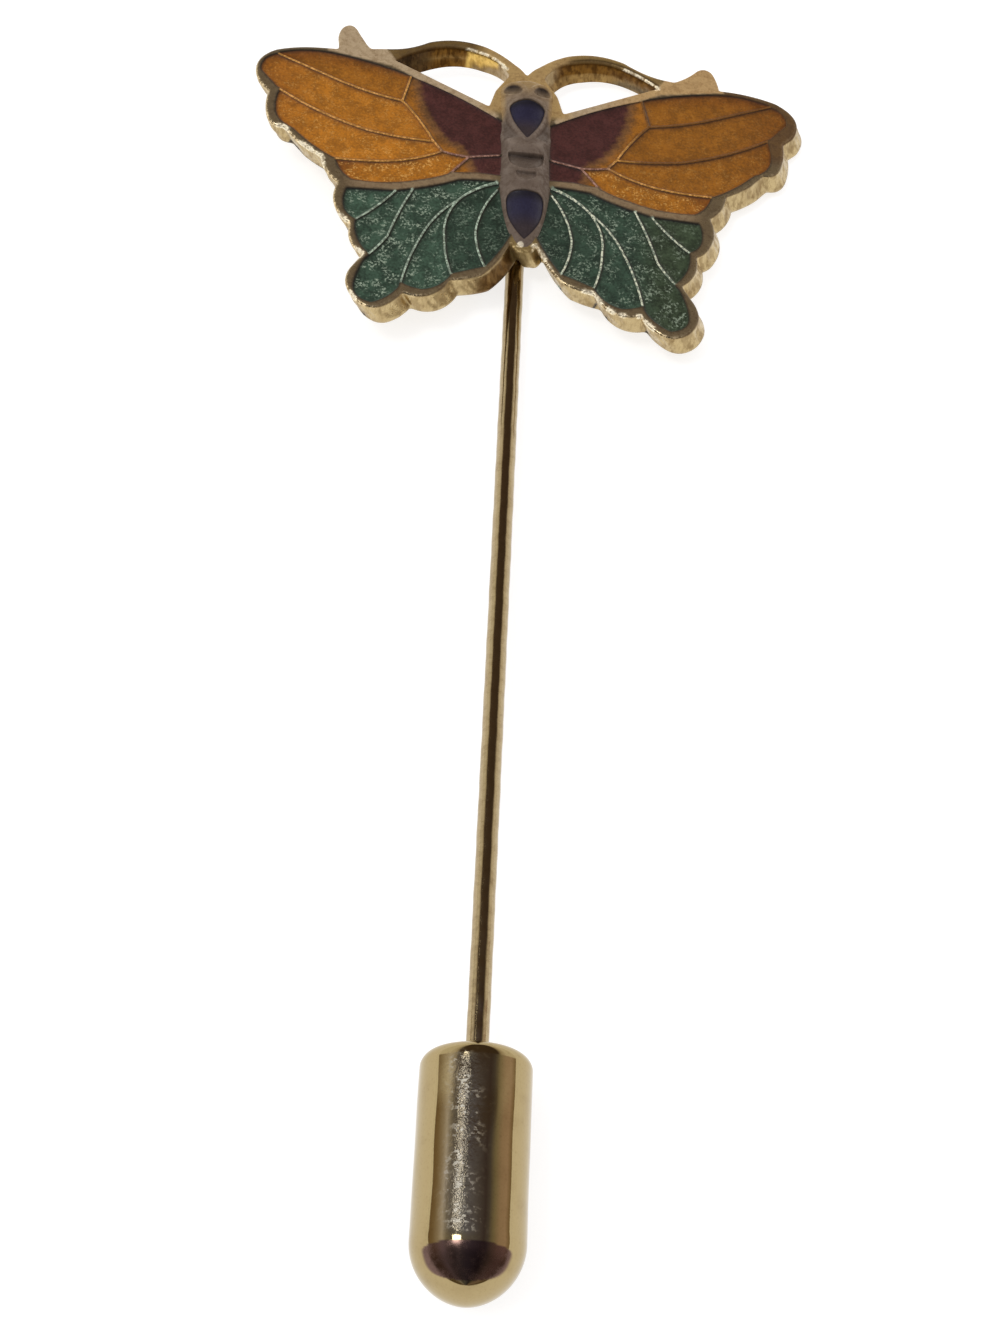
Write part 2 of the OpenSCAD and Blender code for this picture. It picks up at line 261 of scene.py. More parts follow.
def outward(loop: np.ndarray) -> np.ndarray:
    """Unit vectors that point out of a clockwise loop, from the run between each point's neighbours."""
    run = np.roll(loop, -1, 0) - np.roll(loop, 1, 0)
    run /= np.linalg.norm(run, axis=1)[:, None]
    return np.stack([-run[:, 1], run[:, 0]], 1)


def swept_area(loop: np.ndarray) -> float:
    """Area of a loop, negative where it runs clockwise."""
    x, y = loop[:, 0], loop[:, 1]
    return float((x * np.roll(y, -1) - np.roll(x, -1) * y).sum() / 2)


def drawn_in(loop: np.ndarray, distance: np.ndarray) -> np.ndarray:
    """A clockwise polygon with each side moved inwards, without the sides that this uses up.

    Every side moves to its right; neighbouring sides meet again where their lines cross, and a side whose new
    run points backwards is dropped.

    Args:
        loop: corners of the polygon.
        distance: how far in each side moves.

    Returns:
        Corners of the smaller polygon.
    """
    run = np.roll(loop, -1, 0) - loop
    run /= np.linalg.norm(run, axis=1)[:, None]
    start = loop + distance[:, None] * np.stack([run[:, 1], -run[:, 0]], 1)
    while True:
        before, at = np.roll(run, 1, 0), np.roll(start, 1, 0)
        turn = before[:, 0] * run[:, 1] - before[:, 1] * run[:, 0]
        apart = start - at
        share = (apart[:, 0] * run[:, 1] - apart[:, 1] * run[:, 0]) / np.where(abs(turn) < 0.01, 1, turn)
        corners = np.where(abs(turn)[:, None] < 0.01, start, at + before * share[:, None])
        left = ((np.roll(corners, -1, 0) - corners) * run).sum(1)
        if left.min() > 0 or len(run) < 4:
            return corners
        keep = np.arange(len(run)) != left.argmin()
        run, start = run[keep], start[keep]


def nearest(points: np.ndarray, start: np.ndarray, end: np.ndarray) -> np.ndarray:
    """Least distance of N points to straight sides, in blocks of a few hundred points."""
    sx, sy, rx, ry = start[:, 0], start[:, 1], end[:, 0] - start[:, 0], end[:, 1] - start[:, 1]
    least = np.empty(len(points))
    for first in range(0, len(points), 400):
        part = slice(first, first + 400)
        qx, qy = points[part, 0, None] - sx, points[part, 1, None] - sy
        share = np.clip((qx * rx + qy * ry) / (rx * rx + ry * ry), 0, 1)
        least[part] = ((qx - share * rx) ** 2 + (qy - share * ry) ** 2).min(1)
    return np.sqrt(least)


def distance_inside(points: np.ndarray, loop: np.ndarray) -> np.ndarray:
    """How deep points lie inside a closed loop, negative outside.

    The size is the least distance to any side; the sign comes from how often a line to the right of the point
    crosses the loop.

    Args:
        points: N places.
        loop: corners of the loop.

    Returns:
        N distances.
    """
    start, end = loop, np.roll(loop, -1, 0)
    rise = np.where(end[:, 1] == start[:, 1], 1, end[:, 1] - start[:, 1])
    slope = (end[:, 0] - start[:, 0]) / rise
    inside = np.zeros(len(points), bool)
    for first in range(0, len(points), 400):
        part = slice(first, first + 400)
        x, y = points[part, 0, None], points[part, 1, None]
        spans = (start[:, 1] > y) != (end[:, 1] > y)
        inside[part] = (spans & (start[:, 0] + (y - start[:, 1]) * slope > x)).sum(1) % 2 == 1
    return np.where(inside, 1, -1) * nearest(points, start, end)


def eased(value: np.ndarray, low: float, high: float) -> np.ndarray:
    """0 below low, 1 above high, and 3 t^2 - 2 t^3 between them."""
    t = np.clip((value - low) / (high - low), 0, 1)
    return t * t * (3 - 2 * t)


def hump(value: np.ndarray, spread: float) -> np.ndarray:
    """1 at zero, falling as exp(-(value / spread)^2)."""
    return np.exp(-((value / spread) ** 2))


# ---------------------------------------------------------------- surfaces


@dataclass(frozen=True)
class RestPose:
    """How the pin lies: the head's turn on the stem, then roll and pitch down to the table."""

    head_turn: float = 1.0
    turn_y: float = 12.699
    roll: float = 2.99744
    pitch: float = 2.02508
    shift: tuple[float, float, float] = (-0.09062, 19.97230, 0.81772)

    def turned(self, points: np.ndarray) -> np.ndarray:
        """Points of the head turned onto the stem."""
        a = math.radians(self.head_turn)
        x, y = points[:, 0], points[:, 1] - self.turn_y
        return np.stack([
            x * math.cos(a) - y * math.sin(a), self.turn_y + x * math.sin(a) + y * math.cos(a), points[:, 2],
        ], 1)

    def axes(self) -> np.ndarray:
        """The rotation from the pin's own frame to the table's."""
        roll, pitch = math.radians(self.roll), math.radians(self.pitch)
        cr, sr, cp, sp = math.cos(roll), math.sin(roll), math.cos(pitch), math.sin(pitch)
        about_y = np.array([[cr, 0, sr], [0, 1, 0], [-sr, 0, cr]])
        about_x = np.array([[1, 0, 0], [0, cp, sp], [0, -sp, cp]])
        return about_x @ about_y

    def laid(self, points: np.ndarray) -> np.ndarray:
        """Points in millimetres laid at rest, in metres."""
        return (points @ self.axes().T + self.shift) * MM

    def laid_directions(self, directions: np.ndarray) -> np.ndarray:
        """Directions laid at rest."""
        return directions @ self.axes().T


POSE = RestPose()


@dataclass
class Surface:
    """Points, faces, normals and marks of one piece, in the pin's own frame, in millimetres."""

    points: np.ndarray
    faces: list[np.ndarray]
    normals: np.ndarray
    marks: dict[str, np.ndarray] = field(default_factory=dict)

    @staticmethod
    def joined(parts: "list[Surface]") -> "Surface":
        """Several surfaces as one."""
        names = sorted({n for p in parts for n in p.marks})
        first = np.cumsum([0] + [len(p.points) for p in parts])
        return Surface(
            np.vstack([p.points for p in parts]),
            [f + at for p, at in zip(parts, first) for f in p.faces],
            np.vstack([p.normals for p in parts]),
            {n: np.concatenate([p.marks[n] for p in parts]) for n in names},
        )

    def welded(self) -> "Surface":
        """The same surface with points that share a place made one."""
        _, kept, owner = np.unique(self.points.round(6), axis=0, return_index=True, return_inverse=True)
        owner = owner.ravel()
        return Surface(
            self.points[kept], [owner[f] for f in self.faces], self.normals[kept],
            {n: v[kept] for n, v in self.marks.items()},
        )

    def kept(self, wanted: np.ndarray) -> "Surface":
        """The faces whose corners are all wanted, and only their points."""
        faces = self.faces[0][wanted[self.faces[0]].all(1)]
        used, first = np.unique(faces, return_inverse=True)
        return Surface(
            self.points[used], [first.reshape(faces.shape)], self.normals[used],
            {n: v[used] for n, v in self.marks.items()},
        )

    def backed(self, drop: float) -> "Surface":
        """The sheet as a closed body: a copy of it lies below it, facing down, and a band joins their edges.

        An edge of the sheet is on its border when only one face runs along it.

        Args:
            drop: how far the copy lies below, in millimetres.

        Returns:
            The closed surface.
        """
        faces, count = self.faces[0], len(self.points)
        starts, ends = faces.ravel(), np.roll(faces, -1, 1).ravel()
        lone = ~np.isin(starts * count + ends, ends * count + starts)
        a, b = starts[lone], ends[lone]
        band = np.stack([b, a, a + count, b + count], 1)
        return Surface(
            np.vstack([self.points, self.points - (0, 0, drop)]), [faces, faces[:, ::-1] + count, band],
            np.vstack([self.normals, -self.normals]), {n: np.concatenate([v, v]) for n, v in self.marks.items()},
        )

    def turned(self) -> "Surface":
        """The same surface turned with the head onto the stem."""
        origin = POSE.turned(np.zeros((1, 3)))
        return Surface(POSE.turned(self.points), self.faces, POSE.turned(self.normals) - origin, self.marks)

    def piece(self, name: str, material: bpy.types.Material) -> bpy.types.Object:
        """The surface as an object at rest.

        Args:
            name: the piece's name.
            material: its finish.

        Returns:
            The object, linked to the scene.
        """
        mesh = bpy.data.meshes.new(name)
        corners = np.concatenate([f.ravel() for f in self.faces])
        sizes = np.concatenate([np.full(len(f), f.shape[1]) for f in self.faces])
        mesh.vertices.add(len(self.points))
        mesh.vertices.foreach_set("co", POSE.laid(self.points).astype(np.float32).ravel())
        mesh.loops.add(len(corners))
        mesh.loops.foreach_set("vertex_index", corners.astype(np.int32))
        mesh.polygons.add(len(sizes))
        mesh.polygons.foreach_set("loop_start", np.r_[0, np.cumsum(sizes)[:-1]].astype(np.int32))
        mesh.update(calc_edges=True)
        mesh.polygons.foreach_set("use_smooth", np.ones(len(sizes), bool))
        normals = POSE.laid_directions(self.normals)
        normals /= np.maximum(np.linalg.norm(normals, axis=1), 1e-12)[:, None]
        mesh.normals_split_custom_set_from_vertices(normals.tolist())
        for mark, values in self.marks.items():
            if values.ndim == 1:
                mesh.attributes.new(mark, "FLOAT", "POINT").data.foreach_set("value", values.astype(np.float32))
            else:
                colours = np.column_stack([values, np.ones(len(values))]).astype(np.float32)
                mesh.attributes.new(mark, "FLOAT_COLOR", "POINT").data.foreach_set("color", colours.ravel())
        mesh.materials.append(material)
        piece = bpy.data.objects.new(name, mesh)
        bpy.context.scene.collection.objects.link(piece)
        return piece


def grid_faces(rows: int, columns: int, closed: bool) -> np.ndarray:
    """Four-sided faces of a grid of rows by columns, joined across the last column if closed."""
    r = np.arange(rows - 1)[:, None] * columns
    c = np.arange(columns if closed else columns - 1)[None]
    d = (c + 1) % columns
    return np.stack([r + c, r + d, r + columns + d, r + columns + c], -1).reshape(-1, 4)


def grid_surface(grid: np.ndarray, closed: bool, **marks: np.ndarray) -> Surface:
    """A surface from a grid of places.

    The normal at a place is the cross product of the runs between its neighbours along the columns and along
    the rows.

    Args:
        grid: rows by columns by 3, in millimetres.
        closed: whether the last column joins the first.
        **marks: named values, rows by columns, or colours, rows by columns by 3.

    Returns:
        The surface, facing the side on which columns run to the left of rows.
    """
    if closed:
        along = np.roll(grid, -1, 1) - np.roll(grid, 1, 1)
    else:
        along = np.gradient(grid, axis=1)
    across = np.gradient(grid, axis=0)
    normals = np.cross(along, across)
    normals /= np.maximum(np.linalg.norm(normals, axis=2), 1e-12)[..., None]
    rows, columns = grid.shape[:2]
    whole = {n: v if np.ndim(v) == 3 else np.broadcast_to(v, (rows, columns)) for n, v in marks.items()}
    flat = {n: v.reshape(-1, 3) if v.ndim == 3 else v.ravel() for n, v in whole.items()}
    return Surface(grid.reshape(-1, 3), [grid_faces(rows, columns, closed)], normals.reshape(-1, 3), flat)


def flat_between(
    outer: np.ndarray, holes: list[np.ndarray], height: float, up: bool, spacing: float = 0.0,
) -> Surface:
    """The flat face at one height inside a loop and outside its holes, cut into triangles.

    Args:
        outer: the loop round it.
        holes: loops left open.
        height: its Z, in millimetres.
        up: whether it looks along +Z.
        spacing: distance between the points added inside, or 0 for none.

    Returns:
        The surface.
    """
    loops = [outer, *holes]
    first = np.cumsum([0] + [len(p) for p in loops])
    places = np.vstack(loops)
    rings = [list(range(a, b))[:: 1 if swept_area(p) > 0 else -1] for p, a, b in zip(loops, first, first[1:])]
    if spacing:
        low, high = outer.min(0), outer.max(0)
        gx, gy = np.meshgrid(np.arange(low[0], high[0], spacing), np.arange(low[1], high[1], spacing))
        gx = gx + spacing / 2 * (np.arange(len(gy)) % 2)[:, None]
        inner = np.column_stack([gx.ravel(), gy.ravel()])
        for sign, loop in zip([1] + [-1] * len(holes), loops):
            near = ((inner > loop.min(0) - spacing) & (inner < loop.max(0) + spacing)).all(1)
            depth = distance_inside(inner[near], loop) * sign
            inner = np.vstack([inner[near][depth > spacing / 3], inner[~near]])
        places = np.vstack([places, inner])
    only_inside, tolerance = 1, 1e-6
    corners = [Vector(p) for p in places.tolist()]
    flat, _, faces, whence, _, owners = delaunay_2d_cdt(corners, [], rings, only_inside, tolerance, True)
    triangles = np.array([f for f, who in zip(faces, owners) if who == [0]], int)
    xy = np.array([places[w[0]] if w else tuple(v) for v, w in zip(flat, whence)])
    a, b, c = (xy[triangles[:, k]] for k in range(3))
    turn = (b - a)[:, 0] * (c - a)[:, 1] - (b - a)[:, 1] * (c - a)[:, 0]
    wrong = (turn > 0) != up
    triangles[wrong] = triangles[wrong][:, ::-1]
    points = np.column_stack([xy, np.full(len(xy), height)])
    return Surface(points, [triangles], np.tile([0.0, 0.0, 1.0 if up else -1.0], (len(xy), 1)))


# ---------------------------------------------------------------- finishes


@dataclass(frozen=True)
class Paint:
    """A colour, the share of it that is bare metal, and its roughness."""

    tint: Colour
    metal: float = 1.0
    rough: float = 0.2


GOLD_WALL = Paint((0.52, 0.40, 0.205), 1.0, 0.28)
# Painted highlight: the gold of rounded edges that face down and left.
EDGE_HIGHLIGHT_GOLD = Paint((0.50, 0.39, 0.22), 1.0, 0.14)
# Painted highlight: the white of painted glints.
GLINT = Paint((1.0, 0.90, 0.66), 0.5, 0.25)
RIM_TOP = Paint((0.205, 0.150, 0.080), 0.4, 0.32)
RIM_BROWN = Paint((0.150, 0.080, 0.026), 0.2, 0.4)
RIDGE_TOP = Paint((0.34, 0.24, 0.135), 0.3, 0.35)
RIM_SHADE = Paint((0.022, 0.016, 0.010), 0.3, 0.45)
WEB_BEIGE = Paint((0.54, 0.41, 0.25), 0.2, 0.5)
WEB_WARM = Paint((0.58, 0.38, 0.165), 0.2, 0.5)
NECK_GOLD = Paint((0.49, 0.325, 0.125), 0.15, 0.4)
NUB_GOLD = Paint((0.36, 0.26, 0.10), 0.5, 0.35)
BAR_GOLD = Paint((0.36, 0.235, 0.080), 0.3, 0.32)
BAR_BROWN = Paint((0.17, 0.100, 0.028), 0.3, 0.32)
BAR_DARK = Paint((0.050, 0.028, 0.008), 0.8, 0.4)
LOOP_BROWN = Paint((0.170, 0.080, 0.014), 1.0, 0.4)
LOOP_BAND = Paint((0.33, 0.205, 0.070), 1.0, 0.4)
LOOP_PATCH = Paint((0.78, 0.52, 0.14), 1.0, 0.3)
BODY_GREY = Paint((0.150, 0.109, 0.080), 0.25, 0.5)
BODY_TAN = Paint((0.28, 0.205, 0.135), 0.3, 0.45)
# Paler body paint: painted highlight on the body's raised edges, and the solder's own colour.
BODY_RUBBED_AND_LIT = Paint((0.24, 0.185, 0.145), 0.35, 0.42)
BODY_SHADE = Paint((0.040, 0.028, 0.022), 0.2, 0.6)
WIRE_GOLD = Paint((0.42, 0.33, 0.19), 1.0, 0.13)
STOPPER_GOLD = Paint((0.40, 0.31, 0.155), 1.0, 0.05)
# Painted reflection: the dark room mirrored on the stopper's nose, painted as a brown oval.
NOSE_REFLECTION = Paint((0.155, 0.095, 0.078), 0.35, 0.2)
# Vein paints: the enamel colours made lighter, as painted highlight on the metal ridges; the dark vein paint is
# painted shade on the right forewing.
AMBER_VEIN = Paint((0.56, 0.27, 0.05), 0.3, 0.35)
SHADED_VEIN = Paint((0.17, 0.065, 0.012), 0.3, 0.4)
GREEN_VEIN = Paint((0.24, 0.31, 0.24), 0.3, 0.35)
PLUM_VEIN = Paint((0.30, 0.15, 0.11), 0.3, 0.4)


@dataclass
class Coat:
    """Tint, metal share, roughness and flecks over the points of a surface."""

    tint: np.ndarray
    metal: np.ndarray
    rough: np.ndarray
    fleck: np.ndarray

    @staticmethod
    def of(paint: Paint, shape: tuple[int, ...]) -> "Coat":
        """One paint all over, without flecks."""
        tint = np.tile(np.array(paint.tint), (*shape, 1))
        return Coat(tint, np.full(shape, paint.metal), np.full(shape, paint.rough), np.zeros(shape))

    def under(self, paint: Paint, share: np.ndarray) -> "Coat":
        """The coat with another paint over a share of it."""
        s = np.clip(share, 0, 1)
        return Coat(
            self.tint + (np.array(paint.tint) - self.tint) * s[..., None],
            self.metal + (paint.metal - self.metal) * s, self.rough + (paint.rough - self.rough) * s, self.fleck,
        )

    def flecked(self, share: np.ndarray) -> "Coat":
        """The coat with bright flecks, painted glints, where the share is above 0."""
        return Coat(self.tint, self.metal, self.rough, np.maximum(self.fleck, np.clip(share, 0, 1)))

    def marks(self) -> dict[str, np.ndarray]:
        """The coat as marks on a mesh."""
        return {"tint": self.tint, "metal": self.metal, "rough": self.rough, "fleck": self.fleck}


class Wiring:
    """A tree of nodes under construction."""

    def __init__(self, tree: bpy.types.NodeTree) -> None:
        """Work on a tree."""
        self.tree = tree

    def node(self, kind: str, **settings: object) -> bpy.types.Node:
        """A new node with some of its settings."""
        made = self.tree.nodes.new(kind)
        for name, value in settings.items():
            setattr(made, name, value)
        return made

    def wire(self, source: object, target: bpy.types.NodeSocket) -> None:
        """Link a socket to another, or set the target to a plain value."""
        if isinstance(source, bpy.types.NodeSocket):
            self.tree.links.new(source, target)
        elif isinstance(source, tuple) and len(source) == 3 and target.type == "RGBA":
            target.default_value = (*source, 1.0)
        else:
            target.default_value = source

    def spread(
        self, value: object, low: float, high: float, to_low: object = 0.0, to_high: object = 1.0,
    ) -> bpy.types.NodeSocket:
        """A value between low and high eased onto another range."""
        node = self.node("ShaderNodeMapRange", interpolation_type="SMOOTHSTEP")
        for source, target in zip((value, low, high, to_low, to_high), node.inputs[:5]):
            self.wire(source, target)
        return node.outputs["Result"]

    def sum(self, operation: str, a: object, b: object = 0.0) -> bpy.types.NodeSocket:
        """Two values put together: ADD, MULTIPLY, SUBTRACT, MAXIMUM and so on."""
        node = self.node("ShaderNodeMath", operation=operation)
        self.wire(a, node.inputs[0])
        self.wire(b, node.inputs[1])
        return node.outputs[0]

    def weighed(self, *terms: tuple[object, float]) -> bpy.types.NodeSocket:
        """The sum of values, each times its weight."""
        total, *rest = [self.sum("MULTIPLY", value, weight) for value, weight in terms]
        for term in rest:
            total = self.sum("ADD", total, term)
        return total

    def mixed(self, share: object, a: object, b: object, way: str = "MIX") -> bpy.types.NodeSocket:
        """Two colours mixed by a share."""
        node = self.node("ShaderNodeMix", data_type="RGBA", blend_type=way)
        self.wire(share, node.inputs[0])
        self.wire(a, node.inputs[6])
        self.wire(b, node.inputs[7])
        return node.outputs[2]


class Shader(Wiring):
    """A node material under construction."""

    def __init__(self, name: str) -> None:
        """Start a material with one glossy-or-dull surface node."""
        self.material = bpy.data.materials.new(name)
        self.material.use_nodes = True
        super().__init__(self.material.node_tree)
        self.surface = self.tree.nodes["Principled BSDF"]
        self.place = self.node("ShaderNodeTexCoord").outputs["Object"]

    def mark(self, name: str, output: str = "Fac") -> bpy.types.NodeSocket:
        """A mark on the mesh."""
        return self.node("ShaderNodeAttribute", attribute_name=name).outputs[output]

    def noise(
        self, size: float, detail: float = 3.0, rough: float = 0.55, stretch: Colour = (1.0, 1.0, 1.0),
    ) -> bpy.types.NodeSocket:
        """Soft noise, 0 to 1, with features of a size in millimetres, stretched along the axes."""
        mapping = self.node("ShaderNodeMapping")
        self.wire(self.place, mapping.inputs["Vector"])
        mapping.inputs["Scale"].default_value = stretch
        noise = self.node("ShaderNodeTexNoise")
        self.wire(mapping.outputs["Vector"], noise.inputs["Vector"])
        noise.inputs["Scale"].default_value = 1.0 / (size * MM)
        noise.inputs["Detail"].default_value = detail
        noise.inputs["Roughness"].default_value = rough
        return noise.outputs["Fac"]

    def bumped(self, height: object, rise: float) -> bpy.types.NodeSocket:
        """Normals of a height of 0 to 1 that rises by so many millimetres."""
        node = self.node("ShaderNodeBump")
        node.inputs["Strength"].default_value = 1.0
        node.inputs["Distance"].default_value = rise * MM
        self.wire(height, node.inputs["Height"])
        return node.outputs["Normal"]

    def finish(self, **inputs: object) -> bpy.types.Material:
        """Set the surface's inputs, with _ for a space in their names, and return the material."""
        for name, value in inputs.items():
            self.wire(value, self.surface.inputs[name.replace("_", " ")])
        return self.material


@dataclass(frozen=True)
class Gilt:
    """Worn gilt metal over the tints of its coat: brown stains, pits and uneven polish.

    The stains are clouds, patches and a fine grain together. The mark "fleck" scatters bright specks over a place,
    painted glints; from 0.9 up they run together into a painted white glint.
    """

    name: str
    stain: Colour = (0.50, 0.42, 0.34)
    fleck: Colour = (0.10, 0.10, 0.08)
    cover: float = 0.65
    pits: float = 0.010
    pit_size: float = 0.1

    def material(self) -> bpy.types.Material:
        """The finish as a material."""
        s = Shader(self.name)
        tint, specks = s.mark("tint", "Color"), s.mark("fleck")
        cloud = s.spread(s.noise(0.9, 4), 0.42, 0.72)
        fine = s.spread(s.noise(0.13, 3, 0.65, (1.0, 1.0, 0.15)), 0.45, 0.72)
        patch = s.spread(s.noise(0.34, 3, 0.6, (1.0, 1.0, 0.5)), 0.47, 0.60)
        stain = s.sum("MULTIPLY", s.weighed((cloud, 0.45), (fine, 0.45), (patch, 0.5)), self.cover)
        colour = s.mixed(stain, tint, s.mixed(1.0, tint, self.stain, "MULTIPLY"))
        # Painted highlight: flecks take a lightened tint, and from 0.9 up the white of the painted glints.
        white = s.spread(specks, 0.9, 1.0)
        ground = s.weighed((s.noise(0.15, 3, 0.7), 1.0), (white, 0.06))
        fleck = s.sum("MULTIPLY", s.spread(ground, 0.49, 0.57), specks)
        bright = s.mixed(1.0, s.mixed(1.0, tint, (2.0, 2.0, 2.0), "MULTIPLY"), self.fleck, "ADD")
        colour = s.mixed(fleck, colour, s.mixed(white, bright, GLINT.tint))
        polish = s.spread(s.sum("ADD", s.noise(0.4, 3), stain), 0.3, 1.1, 0.75, 1.7)
        grain = s.weighed((s.noise(self.pit_size, 3), 1.0), (s.noise(0.5, 2), 0.8))
        metal = s.sum("MULTIPLY", s.mark("metal"), s.sum("SUBTRACT", 1.0, fleck))
        return s.finish(
            Base_Color=colour, Metallic=metal, Roughness=s.sum("MULTIPLY", s.mark("rough"), polish),
            Normal=s.bumped(grain, self.pits),
        )


@dataclass(frozen=True)
class PittedGilt(Gilt):
    """Gilt of the stopper: polished, with shallow pits in a band and, over them, pale specks painted as their
    sparkle.
    """

    def material(self) -> bpy.types.Material:
        """The finish as a material."""
        s = Shader(self.name)
        cloud = s.spread(s.noise(1.1, 4), 0.45, 0.75)
        fine = s.spread(s.noise(0.12, 4, 0.7), 0.5, 0.75)
        stain = s.sum("MULTIPLY", s.weighed((cloud, 0.4), (fine, 0.5)), self.cover)
        pitted = s.mark("pitted")
        tint = s.mixed(s.sum("MULTIPLY", pitted, 0.8), s.mark("tint", "Color"), (0.40, 0.36, 0.29))
        colour = s.mixed(stain, tint, s.mixed(1.0, tint, self.stain, "MULTIPLY"))
        # Painted sparkle: pale flecks in clusters over the band of pits, standing in for the pits catching the
        # lamps.
        speck = s.spread(s.noise(0.21, 2, 0.6, (1.0, 1.2, 1.0)), 0.49, 0.62)
        cluster = s.spread(s.noise(0.75, 2, 0.5, (1.0, 1.5, 1.0)), 0.47, 0.58, 0.05, 1.0)
        fleck = s.sum("MULTIPLY", s.sum("MULTIPLY", speck, pitted), cluster)
        polish = s.spread(s.noise(0.3, 4, 0.6), 0.35, 0.7, 0.8, 1.6)
        rough = s.sum("ADD", s.sum("MULTIPLY", s.mark("rough"), polish), s.sum("MULTIPLY", pitted, 0.06))
        grain = s.noise(self.pit_size, 4, 0.7, (1.0, 0.6, 1.0))
        height = s.sum("MULTIPLY", grain, s.spread(pitted, 0.0, 1.0, 0.04, 1.0))
        return s.finish(
            Base_Color=s.mixed(fleck, colour, (0.62, 0.58, 0.48)), Roughness=rough,
            Metallic=s.sum("SUBTRACT", 1.0, s.sum("MULTIPLY", fleck, 0.8)), Normal=s.bumped(height, self.pits),
        )


@dataclass(frozen=True)
class FiredEnamel:
    """Translucent enamel over a grainy ground, under a clear glaze.

    The tint of each place is darkened and lightened, from dark to light times itself, by soft clouds and fine
    grains, and flakes of the ground shine through where the mark "flakes" allows. The grains, the flakes and the
    clusters these lie in have their sizes in millimetres.
    """

    hue: Hue
    flake: Colour
    flake_share: float = 0.3
    dark: float = 0.72
    light: float = 1.22
    grain: float = 0.11
    flake_size: float = 0.10
    cluster: float = 0.55
    gloss: float = 0.2

    def material(self) -> bpy.types.Material:
        """The finish as a material."""
        s = Shader(self.hue.value)
        cloud = s.noise(0.8, 4, 0.6)
        speck = s.noise(self.grain, 3, 0.7)
        tone = s.spread(s.weighed((cloud, 0.45), (speck, 0.55)), 0.38, 0.62, self.dark, self.light)
        tinted = s.mixed(1.0, s.mark("tint", "Color"), tone, "MULTIPLY")
        flake = s.spread(s.noise(self.flake_size, 3, 0.75), 0.51, 0.61)
        flake = s.sum("MULTIPLY", flake, s.spread(s.noise(self.cluster, 3), 0.44, 0.58))
        flake = s.sum("MULTIPLY", s.sum("MULTIPLY", flake, s.mark("flakes")), self.flake_share)
        colour = s.mixed(flake, tinted, self.flake)
        height = s.weighed((s.noise(0.12, 3), 1.0), (s.noise(0.5, 2), 0.8))
        return s.finish(
            Base_Color=colour, Metallic=0.0, Roughness=0.45, Specular_IOR_Level=0.3,
            Normal=s.bumped(height, 0.014), Coat_Weight=self.gloss, Coat_Roughness=0.2,
        )


GILT = Gilt("gilt_rim")
GILT_BODY = Gilt("gilt_body", cover=0.45, pits=0.004)
GILT_WIRE = Gilt("gilt_wire", cover=0.4, pits=0.002)
GILT_STOPPER = PittedGilt("gilt_stopper", cover=0.5, pits=0.016, pit_size=0.21)
AMBER = FiredEnamel(Hue.AMBER, (0.90, 0.52, 0.14), 0.9, 0.70, 1.26, 0.14, 0.13, 0.5)
PLUM = FiredEnamel(Hue.PLUM, (0.25, 0.12, 0.08), 0.35, 0.68, 1.35, 0.13)
GREEN = FiredEnamel(Hue.GREEN, (0.36, 0.44, 0.33), 1.0, 0.52, 1.38, 0.14, 0.14, 0.75)
BLUE = FiredEnamel(Hue.BLUE, (0.06, 0.05, 0.10), 0.2, 0.85, 1.15)


# ---------------------------------------------------------------- the head


@dataclass
class Nudges:
    """Small handmade unevenness of the outline: places in table units, their shifts and how far these reach."""

    rows: Rows = (
        (-99, 70, 1.0, 0.0, 16), (99, 68, 1.5, 0.0, 18), (-67, 98, 0.6, 3.0, 8), (-74, 87, 2.6, 0.0, 4.5),
        (-53, 89, -3.0, 0.0, 6), (-60, -30, 0.6, 2.0, 14),
        (60, -30, 0.4, 0.5, 14), (-64, 5, 0.8, 0.0, 16), (66, 20, 0.6, 0.6, 16), (90, 42, 0.4, 0.4, 14),
    )

    def moved(self, loop: np.ndarray) -> np.ndarray:
        """A loop in millimetres with each nudge added, fading as exp(-(distance / reach)^2)."""
        x, y, dx, dy, reach = (np.array(self.rows)[:, k] for k in range(5))
        far = (loop[:, :1] / WINGS.unit - x) ** 2 + (loop[:, 1:2] / WINGS.unit - y) ** 2
        share = np.exp(-far / reach**2)
        return loop + WINGS.unit * np.stack([share @ dx, share @ dy], 1)


@dataclass(frozen=True)
class PlatePlaces:
    """Where the points of the plate lie.

    x and y are in table units, and so is near_loop, the depth inside a pierced loop. below is how far a point
    lies under the face, near_cell and to_edge how far it is from a cell's wall and from the outer edge, all in
    millimetres. slope is the unit normal.
    """

    x: np.ndarray
    y: np.ndarray
    below: np.ndarray
    near_cell: np.ndarray
    near_loop: np.ndarray
    to_edge: np.ndarray
    slope: np.ndarray


